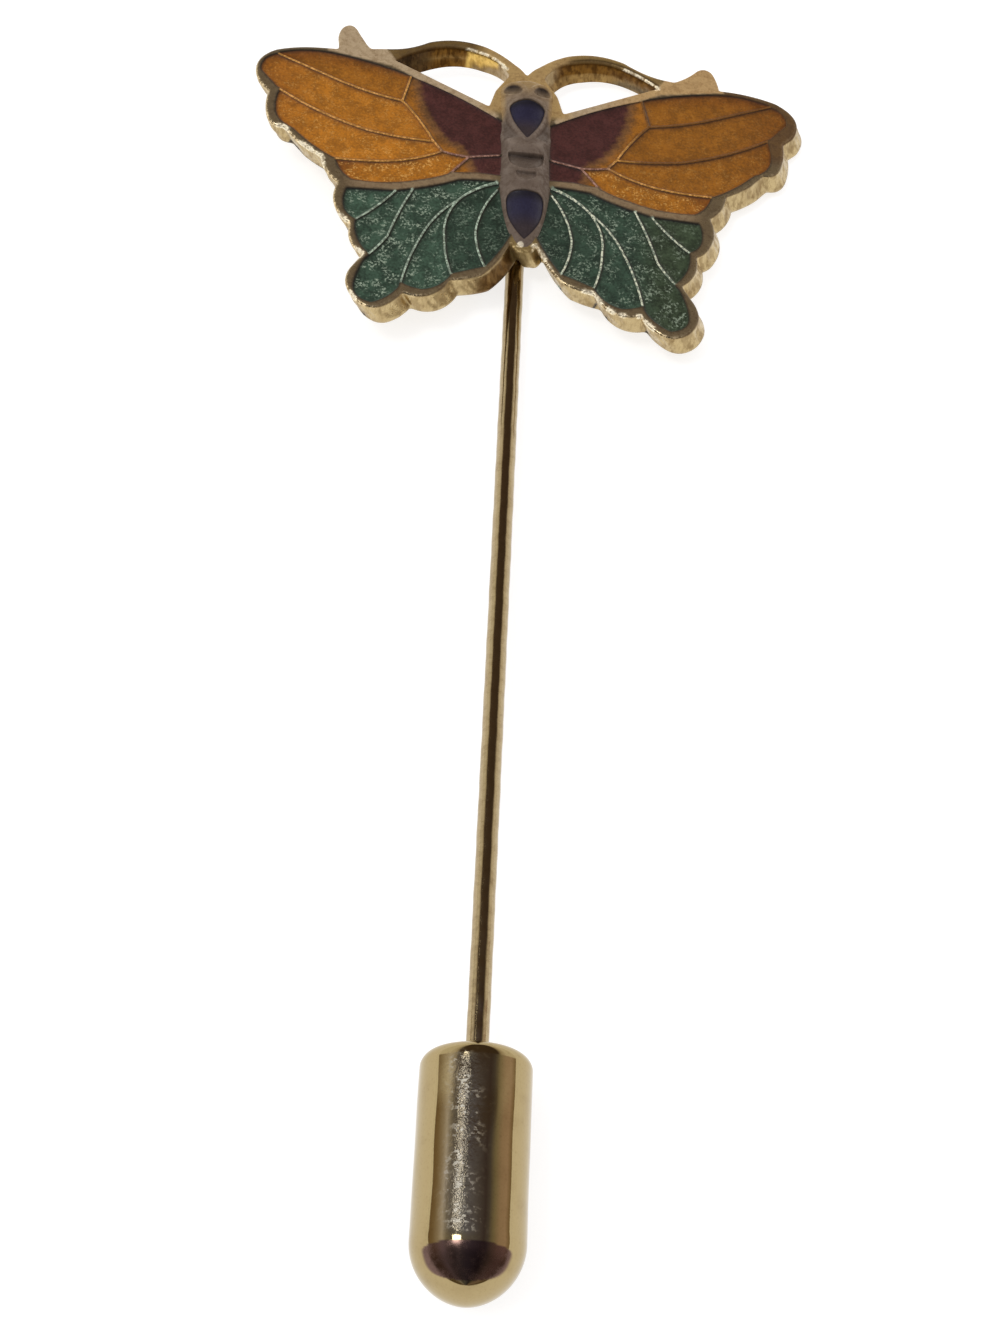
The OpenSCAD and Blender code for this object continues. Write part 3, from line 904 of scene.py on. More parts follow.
@dataclass
class HeadPlate:
    """The cast plate of the head: face, rounded rims and veins, pierced loops, walls and back."""

    rim_round: float = 0.14
    bar_round: float = 0.26
    vein_round: float = 0.05
    vein_half: float = 0.06
    rim_inset: float = -0.05
    body_inset: float = -0.22
    top_outset: float = 0.14
    loop_round: float = 0.1
    foot_round: float = 0.45
    lean: tuple[float, float] = (0.50, 0.0)
    ridges: float = 0.035
    ridge_waves: Rows = ((5.1, 1.0, 1.0), (8.7, 2.2, 0.8), (13.9, 0.0, 0.6), (2.3, 0.4, 0.5))
    step: float = 0.06
    edge_rows: int = 6
    vein_rows: int = 5
    wall_rows: int = 9
    foot_rows: int = 5
    nudges: Nudges = field(default_factory=Nudges)

    def outline(self) -> np.ndarray:
        """The outer edge, clockwise, in millimetres."""
        edge = even_steps(symmetric_outline(WINGS.right_edge) * WINGS.unit, self.step)
        return softened(even_steps(self.nudges.moved(edge), self.step), 0.08)

    def pierced(self, side: Side) -> np.ndarray:
        """The open loop behind one antenna, clockwise."""
        loop = closed_outline(WINGS.antenna_loop) * WINGS.unit
        if side is Side.LEFT:
            loop = loop[::-1] * (-1, 1)
        return softened(even_steps(loop, self.step), 0.1)

    def cell(self, side: Side, name: str) -> np.ndarray:
        """The wall line of one enamel cell, clockwise.

        A side along a vein moves in by half the vein; a side against the body moves out, under the body; a side
        along the top of the forewing moves out, towards its narrow rim.
        """
        rows = WINGS.cells[name]
        insets = []
        for p, q, vein in zip(rows, rows[1:] + rows[:1], WINGS.vein_sides(name)):
            if vein:
                insets.append(self.vein_half)
            elif p[0] <= 10 and q[0] <= 10:
                insets.append(self.body_inset)
            elif name in ("plum", "amber_top"):
                insets.append(-self.top_outset)
            else:
                insets.append(self.rim_inset)
        loop = drawn_in(closed_outline(rows, 12) * WINGS.unit, np.repeat(insets, 12))
        if side is Side.LEFT:
            loop = loop[::-1] * (-1, 1)
        return softened(even_steps(loop, self.step), 0.05)

    def bar_share(self, loop: np.ndarray) -> np.ndarray:
        """How far each point of a loop belongs to an antenna's rounded bar, 0 to 1."""
        x, y = abs(loop[:, 0]) / WINGS.unit, loop[:, 1] / WINGS.unit
        line = 90.5 - 0.2 * np.maximum(x - 30, 0)
        return eased(y - line, -5, -1) * (1 - eased(x, 46, 57))

    def edge_wall(self, loop: np.ndarray, rounds: np.ndarray, sign: float, foot: bool, wavy: float) -> Surface:
        """Rounded edge and wall along a closed loop.

        The profile is carried along the loop: a quarter circle of radius r from the face down to the wall, then
        a wall that is cast askew by the lean times t^1.3, with t its share of the way down, and carries shallow
        upright ridges on its upper half, then a quarter circle at the foot. The ridges are a sum of sine waves
        along the loop, each with its pace, start and share, that fades out at the tail.

        Args:
            loop: the wall's line, clockwise.
            rounds: radius r at each point.
            sign: 1 where the metal is inside the loop, -1 where it is outside.
            foot: whether the wall runs to the back with a rounded foot; if not it ends at the cells' floor.
            wavy: height of the ridges.

        Returns:
            The surface, whose first row lies on the face.
        """
        out = outward(loop) * sign
        length = np.r_[0, np.cumsum(np.linalg.norm(np.diff(loop, axis=0), axis=1))]
        waves = sum(share * np.sin(length * pace + start) for pace, start, share in self.ridge_waves)
        ridge = waves * wavy / 2 * eased(np.hypot(loop[:, 0], loop[:, 1]), 0.6, 1.6)
        a = np.linspace(0, np.pi / 2, self.edge_rows if foot else self.vein_rows)[:, None]
        flat = np.zeros_like(loop[:, 0])[None]
        rows = [(rounds * (np.sin(a) - 1), DEPTHS.face + rounds * (np.cos(a) - 1), 0 * a + flat)]
        top = DEPTHS.face - rounds
        if foot:
            t = np.linspace(0, 1, self.wall_rows + 1)[1:, None]
            r = self.foot_round if sign > 0 else self.loop_round
            low = DEPTHS.back + r
            rise = ridge * eased(t, 0, 0.4) * (1 - eased(t, 0.5, 1))
            rows.append((rise, top + (low - top) * t, t**1.3 + flat))
            b = np.linspace(0, np.pi / 2, self.foot_rows + 1)[1:, None]
            rows.append((flat - r * (1 - np.cos(b)), low - r * np.sin(b) + flat, 1 + 0 * b + flat))
        else:
            t = np.linspace(0, 1, 3)[1:, None]
            rows.append((t * flat, top + (DEPTHS.floor - top) * t, t * flat))
        offset, height, askew = (np.vstack([r[k] + flat for r in rows]) for k in range(3))
        plan = loop[None] + out[None] * offset[..., None] + askew[..., None] * np.array(self.lean)
        grid = np.concatenate([plan, height[..., None]], 2)
        surface = grid_surface(grid if sign > 0 else grid[:, ::-1], True)
        surface.normals[: len(loop)] = (0, 0, 1)
        if foot:
            surface.normals[-len(loop):] = (0, 0, -1)
        return surface

    def build(self) -> Surface:
        """The whole plate."""
        edge = self.outline()
        rim = self.rim_round + (self.bar_round - self.rim_round) * self.bar_share(edge)
        walls, cells = [self.edge_wall(edge, rim, 1, True, self.ridges)], []
        tops, feet = [walls[0].points[: len(edge), :2]], [walls[0].points[-len(edge):, :2]]
        for side in Side:
            loop = self.pierced(side)
            rounds = self.loop_round + (self.bar_round - self.loop_round) * self.bar_share(loop)
            wall = self.edge_wall(loop, rounds, -1, True, self.ridges / 2)
            walls.append(wall)
            tops.append(wall.points[: len(loop), :2])
            feet.append(wall.points[-len(loop):, :2])
            for name in WINGS.cells:
                cell = self.cell(side, name)
                cells.append(cell)
                wall = self.edge_wall(cell, np.full(len(cell), self.vein_round), -1, False, 0.0)
                walls.append(wall)
                tops.append(wall.points[: len(cell), :2])
                walls.append(flat_between(wall.points[-len(cell):, :2], [], DEPTHS.floor, True))
        walls.append(flat_between(tops[0], tops[1:], DEPTHS.face, True, 0.12))
        walls.append(flat_between(feet[0], feet[1:], DEPTHS.back, False, 0.4))
        plate = Surface.joined(walls).welded()
        plate.marks = self.coat(plate, edge, cells).marks()
        return plate

    def places(self, plate: Surface, edge: np.ndarray, cells: list[np.ndarray]) -> PlatePlaces:
        """Where the points of the plate lie against its edge, its loops and the walls of its cells."""
        p, margin = plate.points, 0.3
        near_cell = np.full(len(p), 9.0)
        for cell in cells:
            close = ((p[:, :2] > cell.min(0) - margin) & (p[:, :2] < cell.max(0) + margin)).all(1)
            near_cell[close] = np.minimum(near_cell[close], nearest(p[close, :2], cell, np.roll(cell, -1, 0)))
        x, y = p[:, 0] / WINGS.unit, p[:, 1] / WINGS.unit
        return PlatePlaces(
            x, y, DEPTHS.face - p[:, 2], near_cell,
            distance_inside(np.column_stack([abs(x), y]), closed_outline(WINGS.antenna_loop)),
            nearest(p[:, :2], edge, np.roll(edge, -1, 0)),
            plate.normals / np.maximum(np.linalg.norm(plate.normals, axis=1), 1e-9)[:, None],
        )

    def coat(self, plate: Surface, edge: np.ndarray, cells: list[np.ndarray]) -> Coat:
        """What each place of the plate is painted with.

        The face is brown and its walls are gold. Over them come the antennae's bars, the beige strips along the
        loops, the gold neck, the loops' walls, the veins with their painted highlight, the edges with their
        painted highlight and the tail, and last the painted glints.

        Args:
            plate: the plate.
            edge: its outer edge.
            cells: the wall lines of its cells.

        Returns:
            The coat.
        """
        at = self.places(plate, edge, cells)
        low = eased(at.below, 0.03, 0.10) * eased(at.near_cell, 0.03, 0.06)
        coat = self.face_coat(at, low)
        coat = self.bars_coat(coat, at, self.bar_share(plate.points[:, :2]) * (at.near_loop < 8))
        strip = distance_inside(np.column_stack([abs(at.x), at.y]), np.array(WINGS.beige_strip))
        web = eased(strip, -0.3, 0.5)
        neck = (1 - eased(abs(at.x), 13, 19)) * eased(at.y, 60, 64)
        coat = coat.under(WEB_BEIGE, web * (1 - low)).under(WEB_WARM, web * (1 - low) * eased(at.x, 20, 45))
        coat = self.loops_coat(coat.under(NECK_GOLD, neck * (1 - 0.6 * low)), at)
        coat = self.veins_coat(coat, at, self.vein_share(plate.points) * (1 - low))
        return self.glints_coat(self.edges_coat(coat, at, np.maximum(web, neck)), at)

    def face_coat(self, at: PlatePlaces, low: np.ndarray) -> Coat:
        """The brown face, darker along the cells and lighter on the ridge between wings, and the gold walls."""
        x, y = abs(at.x), at.y
        tip = eased(at.x, 66, 78) * eased(y, 48, 55)
        ridge = eased(x, 8, 14) * (1 - eased(x, 58, 66)) * eased(y, 16, 20) * (1 - eased(y, 36, 40))
        at_cell = 1 - eased(at.near_cell, 0.02, 0.11)
        coat = Coat.of(RIM_TOP, x.shape).under(RIDGE_TOP, ridge).under(RIM_BROWN, tip)
        return coat.under(RIM_SHADE, at_cell * (0.85 - 0.6 * tip)).under(GOLD_WALL, low)

    def bars_coat(self, coat: Coat, at: PlatePlaces, bar: np.ndarray) -> Coat:
        """The antennae's bars: gold, browner on the left, with a dark line at the left edge and the right seam."""
        rim_line = (1 - eased(at.to_edge, 0.10, 0.24)) * eased(-at.x, 8, 16)
        seam = hump(at.near_loop + 1.1, 0.5) * eased(at.x, 8, 14) * 0.7
        coat = coat.under(BAR_GOLD, bar).under(BAR_BROWN, bar * eased(-at.x, 14, 22) * 0.85)
        return coat.under(BAR_DARK, bar * np.maximum(rim_line, seam))

    def loops_coat(self, coat: Coat, at: PlatePlaces) -> Coat:
        """The walls of the pierced loops: dark brown with a lighter band, and a gold patch in the left one."""
        wall = eased(at.near_loop, -0.9, -0.2) * eased(at.below, 0.02, 0.2)
        right_band = wall * (at.x > 0) * eased(at.below, 0.75, 0.95)
        left_band = wall * (at.x < 0) * hump(at.below - 0.75, 0.13) * 0.6
        coat = coat.under(LOOP_BROWN, wall * eased(abs(at.x), 9, 14)).under(LOOP_BAND, right_band + left_band)
        coat = coat.under(BAR_DARK, wall * eased(-at.x, 33, 38) * 0.7)
        return coat.under(LOOP_PATCH, wall * (1 - eased(abs(at.x + 16.5), 5.0, 6.5)) * (at.y > 78))

    def veins_coat(self, coat: Coat, at: PlatePlaces, vein: np.ndarray) -> Coat:
        """The veins: the colour of the enamel about them made lighter, as painted highlight, with flecks of
        painted glint; painted shade darkens them on the right forewing, which has few flecks.
        """
        fore, outer = eased(at.y, 29.5, 30.5), eased(abs(at.x), 27, 33)
        right_fore = (at.x > 0) * eased(at.y, 34, 38) * eased(abs(at.x), 34, 44)
        # The vein paints are the enamel colours made lighter, as painted highlight; the dark vein paint on the
        # right forewing is painted shade.
        for paint, share in (
            (GREEN_VEIN, 1 - fore), (AMBER_VEIN, fore * outer), (PLUM_VEIN, fore * (1 - outer)),
            (SHADED_VEIN, right_fore * 0.8),
        ):
            coat = coat.under(paint, vein * share)
        hind = at.y < 30
        flecks = (0.88 - 0.78 * right_fore) * (0.6 + 0.4 * hind) + 0.07 * hind * (at.x > 0)
        return coat.flecked(vein * flecks)

    def edges_coat(self, coat: Coat, at: PlatePlaces, beige: np.ndarray) -> Coat:
        """The rounded edge, painted with a gold highlight where it faces down and left, the wall left of the tail
        in painted shade, and the nub.
        """
        # Painted highlight: where the rounded edge faces down and left it is painted gold and flecked.
        facing = np.clip(at.slope @ np.array([-0.55, -0.55, 0.63]) * 2.4 - 1.3, 0, 1)
        bright = facing * self.edge_share(at) * (1 - beige)
        nub = (1 - eased(np.hypot(at.x / 5, at.y / 4.6), 0.85, 1.1)) * (at.slope[:, 2] > -0.5)
        shaded = (1 - eased(abs(at.x + 9), 4, 9)) * (1 - eased(at.y, -1, 4)) * eased(at.below, 0.1, 0.3)
        coat = coat.under(EDGE_HIGHLIGHT_GOLD, bright).under(LOOP_BROWN, shaded * 0.8).under(NUB_GOLD, nub)
        return coat.flecked(bright * 0.9)

    def glints_coat(self, coat: Coat, at: PlatePlaces) -> Coat:
        """Painted highlights: white glints painted on the outer edge, at the loops and at the tail, where they are
        drawn.
        """
        inner = hump(at.near_loop + 0.45, 0.55) * (at.below < 0.15)
        glint = GLINTS.share(at.x, at.y, GLINTS.edge) * np.maximum(self.edge_share(at), inner)
        glint = np.maximum(glint, GLINTS.share(at.x, at.y, GLINTS.tail) * (at.below < 0.16))
        sure = eased(glint, 0.25, 0.5)
        return coat.under(GLINT, sure * 0.6).flecked(sure)

    def edge_share(self, at: PlatePlaces) -> np.ndarray:
        """How far each point lies on the rounded outer edge of the face."""
        return (1 - eased(at.to_edge, 0.10, 0.2)) * (at.below < 0.16)

    def vein_share(self, points: np.ndarray) -> np.ndarray:
        """How far each point lies on a vein, 1 on the middle lines that two cells share."""
        places = np.column_stack([abs(points[:, 0]), points[:, 1]])
        near = np.full(len(points), np.inf)
        for name, rows in WINGS.cells.items():
            for p, q, vein in zip(rows, rows[1:] + rows[:1], WINGS.vein_sides(name)):
                if vein:
                    line = np.vstack([bowed_points(p, q, 10), np.array([q[:2]])]) * WINGS.unit
                    near = np.minimum(near, nearest(places, line[:-1], line[1:]))
        return 1 - eased(near, self.vein_half, self.vein_half + 0.07)


@dataclass
class Relief:
    """Height over the face in millimetres, how much paler each place is painted, a little all over and more as
    painted highlight on raised edges, and how much painted shade it gets, as a body takes shape.
    """

    height: np.ndarray
    light: np.ndarray
    shade: np.ndarray

    def add(self, height: np.ndarray, light: np.ndarray | float = 0.0, shade: np.ndarray | float = 0.0) -> None:
        """Raise places, and paint highlight and shade on them, by so much."""
        self.height, self.light, self.shade = self.height + height, self.light + light, self.shade + shade


@dataclass
class BodyRelief:
    """The raised body between the wings, as a height over the face of the head, with its depths in millimetres."""

    radius: float = 1.65
    sink: float = 1.0
    step: float = 0.03
    half_width: float = 1.8
    low_y: float = -0.75
    high_y: float = 12.75
    foot: float = -0.16
    pocket: float = 0.34
    hollow: float = 0.10
    belt_y: float = 42.2
    belt_high: float = 0.08
    crescents: tuple[float, float] = (0.26, 0.13)
    eye: float = 0.28
    eye_rim: float = 0.07

    def dome(self, x: np.ndarray, y: np.ndarray) -> np.ndarray:
        """Height of the plain turned body: sqrt(R(y)^2 - x^2) - sink, with R from the drawn form."""
        form = np.array(BODY.form)
        fine = np.linspace(form[0, 0] - 4, form[-1, 0] + 4, 800)
        share = np.interp(fine, form[:, 0], form[:, 1])
        kernel = np.exp(-np.linspace(-2.5, 2.5, 41) ** 2)
        share = np.convolve(np.pad(share, 20, "edge"), kernel / kernel.sum(), "valid")
        r = np.interp(y / WINGS.unit, fine, share) * self.radius
        plain = np.sqrt(np.maximum(r * r - x * x, 0)) - self.sink
        ends = eased(y / WINGS.unit, form[0, 0] - 1.5, form[0, 0] + 1) * (1 - eased(y / WINGS.unit, 74, 82.5))
        return (plain + 0.3) * ends - 0.3

    def outline(self, rows: Rows) -> np.ndarray:
        """One drawn outline on the body, clockwise, in millimetres."""
        return softened(even_steps(symmetric_outline(rows) * WINGS.unit, 0.04), 0.05)

    def height(self, x: np.ndarray, y: np.ndarray) -> tuple[np.ndarray, Coat]:
        """The relief and its coat at places.

        Collars are humps along the drops' edges; pockets and eyes are eased steps down; a crescent deepens with
        the 1.5th power of the share of the way up it; hollows lie beside the thorax's drop; the belt is a hump
        across the body that sags towards the tail. Raised edges are painted lighter as highlight, and recesses
        darker as painted shade.

        Args:
            x: across the body, in millimetres.
            y: along the body.

        Returns:
            Height over the face, in millimetres, and the coat.
        """
        flat = np.column_stack([x.ravel(), y.ravel()])
        u, v = x / WINGS.unit, y / WINGS.unit
        relief = Relief(self.dome(x, y), np.full(x.shape, 0.25), np.zeros(x.shape))
        thorax, abdomen, big, small = (
            distance_inside(flat, self.outline(rows)).reshape(x.shape)
            for rows in (BODY.drop_thorax, BODY.drop_abdomen, BODY.crescent_big, BODY.crescent_small)
        )
        # Painted highlight along the drops' collars; painted shade in the pockets under the drops.
        for d, collar, collar_light in ((thorax, 0.07, 0.6), (abdomen, 0.03, 0.1)):
            raised = collar * hump(d + 0.12, 0.1) - self.pocket * eased(d, -0.02, 0.05)
            relief.add(raised, collar_light * hump(d + 0.12, 0.09), eased(d, -0.06, 0.02))
        # Painted shade in the hollows beside the thorax's drop.
        beside = eased(-thorax, 0.24, 0.36) * eased(v, 46.5, 49) * (1 - eased(v, 57, 61))
        beside = beside * (1 - eased(abs(u), 7.5, 9))
        relief.add(-self.hollow * beside, shade=0.3 * beside)
        # Painted highlight along the belt.
        belt = v - (self.belt_y + 0.10 * u**2)
        relief.add(self.belt_high * hump(belt, 2.3), 0.45 * hump(belt, 2.0))
        for d, deep, rows, shaded in (
            (big, self.crescents[0], BODY.crescent_big, 1.0), (small, self.crescents[1], BODY.crescent_small, 0.5),
        ):
            self.crescent(relief, d, deep, rows, u, v, shaded)
        for side in Side:
            self.eye_dimple(relief, side.value * x, y)
        clear = 1 - np.clip(relief.shade, 0, 1)
        # The paler paint carries the painted highlight and the shade paint the painted shade; tan and gold are the
        # body's own colours.
        coat = Coat.of(BODY_GREY, x.shape).under(BODY_RUBBED_AND_LIT, relief.light).under(BODY_SHADE, relief.shade)
        coat = coat.under(BODY_TAN, eased(v, 54, 67) * 0.9 * clear)
        gold = np.maximum(eased(v, 65, 75), eased(v, 56, 62) * eased(abs(u), 7, 9))
        coat = coat.under(NECK_GOLD, gold * 0.75 * clear)
        # Painted highlight: white glints painted at the tail.
        return relief.height, coat.under(GLINT, eased(GLINTS.share(u, v, GLINTS.tail), 0.25, 0.5))

    def crescent(
        self, relief: Relief, d: np.ndarray, deep: float, rows: Rows, u: np.ndarray, v: np.ndarray, shaded: float,
    ) -> None:
        """Cut one crescent into the body.

        Args:
            relief: the body's relief, which this changes.
            d: how far places lie inside the crescent.
            deep: its depth under its upper edge.
            rows: its drawing.
            u: across the body, in table units.
            v: along the body, in table units.
            shaded: how strong the painted shade under its upper edge is.
        """
        low, high = rows[-1][1], rows[0][1] + 0.1 * u**2
        climb = np.clip((v - low) / (high - low), 0, 1)
        cut = deep * (0.1 + 0.9 * climb**1.5) * eased(d, -0.03, 0.05)
        # Painted shade under the upper edge; painted highlight just outside its edge, strongest at the lower end.
        dark = eased(d, -0.04, 0.05) * (0.28 + 0.72 * climb**3) * shaded
        relief.add(0.03 * hump(d + 0.07, 0.07) - cut, 0.25 * hump(d + 0.08, 0.07) * (1 - climb), dark)

    def eye_dimple(self, relief: Relief, x: np.ndarray, y: np.ndarray) -> None:
        """Press one eye into the body: an oval dimple with a raised rim painted lighter as highlight, and painted
        shade inside, darkest at its upper end.

        Args:
            relief: the body's relief, which this changes.
            x: outwards from the body's middle, on the eye's side, in millimetres.
            y: along the body.
        """
        out = x - BODY.eye_at[0] * WINGS.unit
        rise = y - BODY.eye_at[1] * WINGS.unit - 0.1 - 0.38 * out
        gap = np.hypot(out * 0.95, rise * 1.25)
        upper = np.clip(0.5 + rise / 0.6, 0, 1)
        raised = self.eye_rim * hump(gap - 0.62, 0.12) - self.eye * (1 - eased(gap, 0.15, 0.56))
        # Painted shade in the dimple, darkest at its upper end; painted highlight on the rim.
        dark = (1 - eased(gap, 0.42, 0.54)) * (0.25 + 0.75 * upper)
        relief.add(raised, 0.2 * hump(gap - 0.64, 0.1), dark)

    def build(self) -> Surface:
        """The relief over a grid of X and Y, cut back to where it rises from the plate."""
        x = np.arange(-self.half_width, self.half_width + self.step / 2, self.step)
        y = np.arange(self.low_y, self.high_y, self.step)
        gx, gy = np.meshgrid(x, y)
        h, coat = self.height(gx, gy)
        z = DEPTHS.face + np.maximum(h, self.foot - 0.05)
        whole = grid_surface(np.stack([gx, gy, z], 2), False, **coat.marks())
        return whole.kept((self.dome(gx, gy) > self.foot).ravel()).backed(0.1)


@dataclass
class EnamelField:
    """One piece of enamel: a grid of X and Y over its cell, kept just past the cell's walls."""

    loop: np.ndarray
    step: float = 0.05
    tuck: float = 0.07

    def patch(self) -> tuple[np.ndarray, np.ndarray, np.ndarray]:
        """Grid of places over the cell and how deep each lies inside the wall."""
        low, high = self.loop.min(0) - self.tuck - self.step, self.loop.max(0) + self.tuck + self.step
        gx, gy = np.meshgrid(np.arange(low[0], high[0], self.step), np.arange(low[1], high[1], self.step))
        deep = distance_inside(np.column_stack([gx.ravel(), gy.ravel()]), self.loop).reshape(gx.shape)
        return gx, gy, deep

    def under_wall(self, deep: np.ndarray, reach: float) -> np.ndarray:
        """Painted shade where a wall lies to the upper left: 1 at its foot, fading with its distance over the
        reach.

        The side of the wall comes from the slope of the depth: it points away from the nearest wall.
        """
        rise = np.stack(np.gradient(deep, self.step)[::-1], 2)
        facing = np.clip(rise @ np.array([0.75, -0.66]) * 1.4 + 0.25, 0, 1)
        return np.exp(-np.maximum(deep, 0) / reach) * facing

    def surface(
        self, gx: np.ndarray, gy: np.ndarray, deep: np.ndarray, z: np.ndarray, **marks: np.ndarray,
    ) -> Surface:
        """The grid with heights, cut back to the faces that lie within the tuck of the cell."""
        whole = grid_surface(np.stack([gx, gy, z], 2), False, **marks)
        return whole.kept((deep > -self.tuck).ravel()).backed(0.15)

    def glaze(self, deep: np.ndarray, wave: np.ndarray) -> np.ndarray:
        """Height of the glaze over the face.

        It lies 0.08 mm below the face, dips 0.03 mm towards the middle of the cell, climbs the walls by
        0.045 exp(-d / 0.05 mm) and waves by a few microns.
        """
        d = np.maximum(deep, 0)
        return -0.08 - 0.03 * eased(d, 0, 0.5) + 0.045 * np.exp(-d / 0.05) + wave * eased(d, 0.05, 0.3)


@dataclass(frozen=True)
class WingColours:
    """Ground colours of the wings' enamels, and how light each cell is, left and right."""

    amber: Colour = (0.42, 0.152, 0.0085)
    amber_red: Colour = (0.235, 0.072, 0.007)
    plum: Colour = (0.064, 0.019, 0.0165)
    scorched: Colour = (0.17, 0.075, 0.022)
    green: Colour = (0.030, 0.059, 0.038)
    # black is the colour that the painted shade along the cells' walls darkens towards.
    black: Colour = (0.010, 0.010, 0.006)
    tones: dict[str, tuple[float, float]] = field(default_factory=lambda: {
        "plum": (1.0, 1.0), "plum_small": (1.1, 1.0), "amber_top": (0.76, 0.67), "amber_upper": (0.98, 0.66),
        "amber_middle": (1.06, 0.70), "amber_lower": (0.98, 0.84), "green_1": (0.80, 0.82), "green_2": (1.0, 1.05),
        "green_3": (1.45, 1.1), "green_4": (1.25, 1.1), "green_5": (1.4, 1.15), "green_6": (1.6, 1.3),
    })
    flakes: dict[str, tuple[float, float]] = field(default_factory=lambda: {
        "plum": (0.1, 0.1), "plum_small": (0.5, 0.3), "amber_top": (0.12, 0.1), "amber_upper": (0.25, 0.10),
        "amber_middle": (0.4, 0.18), "amber_lower": (0.75, 0.55), "green_1": (0.25, 0.35), "green_2": (0.35, 0.6),
        "green_3": (0.75, 0.5), "green_4": (1.0, 0.7), "green_5": (0.7, 0.4), "green_6": (0.75, 0.2),
    })


@dataclass
class WingCell:
    """The enamel of one cell of a wing."""

    side: Side
    name: str
    field_: EnamelField
    colours: WingColours = field(default_factory=WingColours)

    def amber_tint(self, x: np.ndarray, y: np.ndarray, deep: np.ndarray) -> np.ndarray:
        """Amber, redder towards the rim above and beside it."""
        c, u, v = self.colours, abs(x) / WINGS.unit, y / WINGS.unit
        if self.name == "amber_lower":
            edge = eased(u, 55, 66) * 0.7
        else:
            edge = eased(u, 70, 97) * 0.5 + eased(v - 0.12 * u, 66, 72) * 0.5
        edge = np.clip(edge + 0.6 * np.exp(-np.maximum(deep, 0) / 0.12), 0, 1)
        return np.array(c.amber) + (np.array(c.amber_red) - np.array(c.amber)) * edge[..., None]

    def plum_tint(self, x: np.ndarray, y: np.ndarray) -> np.ndarray:
        """Plum that turns to amber across 0.8 mm, through a scorched brown, beyond its drawn end."""
        c = self.colours
        end = np.array(WINGS.plum_ends[self.side]) * WINGS.unit
        reach = nearest(np.column_stack([x.ravel(), y.ravel()]), end[:-1], end[1:]).reshape(x.shape)
        closed = np.vstack([end, [(self.side.value * 0.1, end[-1, 1]), (self.side.value * 0.1, end[0, 1])]])
        inside = distance_inside(np.column_stack([x.ravel(), y.ravel()]), closed).reshape(x.shape) > 0
        past = np.where(inside, -reach, reach) + 0.05 * np.sin(x * 9 + y * 5) + 0.04 * np.sin(y * 14 - x * 6)
        brown, gold = eased(past, -0.25, 0.2)[..., None], eased(past, 0.1, 0.75)[..., None]
        tint = np.array(c.plum) + (np.array(c.scorched) - np.array(c.plum)) * brown
        return tint + (np.array(c.amber) * 0.72 - tint) * gold

    def build(self) -> Surface:
        """The cell's surface with its colours."""
        number, c = sum(map(ord, self.name)), self.colours
        gx, gy, deep = self.field_.patch()
        wave = np.sin(gx * 3.1 + number) * np.cos(gy * 2.7 + number * 2) + 0.6 * np.sin(gx * 6.3 - gy * 4.9)
        z = DEPTHS.face + self.field_.glaze(deep, 0.006 * wave)
        if self.name.startswith("amber"):
            tint = self.amber_tint(gx, gy, deep)
        elif self.name.startswith("plum"):
            tint = self.plum_tint(gx, gy)
        else:
            tint = np.tile(np.array(c.green), (*gx.shape, 1))
        tint = tint * c.tones[self.name][self.side is Side.RIGHT]
        if self.side is Side.RIGHT and self.name.startswith("green"):
            tint = tint + (tint * (1.1, 0.85, 0.68) - tint) * eased(gx / WINGS.unit, 36, 50)[..., None]
        strength = {"amber": 0.65, "plum": 0.7, "green": 1.0}[self.name.split("_")[0]]
        # Painted shade at the foot of walls to the upper left; the slight darkening along every wall is partly the
        # thicker glaze there, partly painted shade.
        dark = strength * self.field_.under_wall(deep, 0.10) + 0.3 * np.exp(-np.maximum(deep, 0) / 0.07)
        tint = tint + (np.array(c.black) - tint) * np.clip(dark, 0, 1)[..., None]
        flakes = np.full(gx.shape, c.flakes[self.name][self.side is Side.RIGHT]) * eased(deep, 0.02, 0.2)
        return self.field_.surface(gx, gy, deep, z, tint=tint, flakes=flakes)


@dataclass
class BodyDrop:
    """A blue drop set in the body, which follows its dome a little below the collar."""

    body: BodyRelief
    rows: Rows
    deep_blue: Colour = (0.020, 0.018, 0.045)
    rusty: Colour = (0.040, 0.028, 0.030)
    black: Colour = (0.010, 0.008, 0.012)

    def build(self) -> Surface:
        """The drop's surface, with painted shade under its upper edge and along its wall, and browner towards its
        tip.
        """
        patch = EnamelField(self.body.outline(self.rows), step=0.03, tuck=0.05)
        gx, gy, deep = patch.patch()
        d = np.maximum(deep, 0)
        z = DEPTHS.face + self.body.dome(gx, gy) - 0.09 - 0.04 * eased(d, 0, 0.5) + 0.03 * np.exp(-d / 0.05)
        top, tip = self.rows[0][1] * WINGS.unit, self.rows[-1][1] * WINGS.unit
        along = np.clip((top - gy) / (top - tip), 0, 1)[..., None]
        blue, rusty = np.array(self.deep_blue), np.array(self.rusty)
        tint = blue + (rusty - blue) * eased(along, 0.35, 0.8)
        # Painted shade under the drop's upper edge and along its wall.
        dark = np.clip(1.1 * (1 - eased(along, 0.02, 0.22)) + 0.8 * np.exp(-d / 0.08)[..., None], 0, 1)
        tint = tint + (np.array(self.black) - tint) * dark * 0.8
        return patch.surface(gx, gy, deep, z, tint=tint, flakes=0.3)


# ---------------------------------------------------------------- wire and stopper


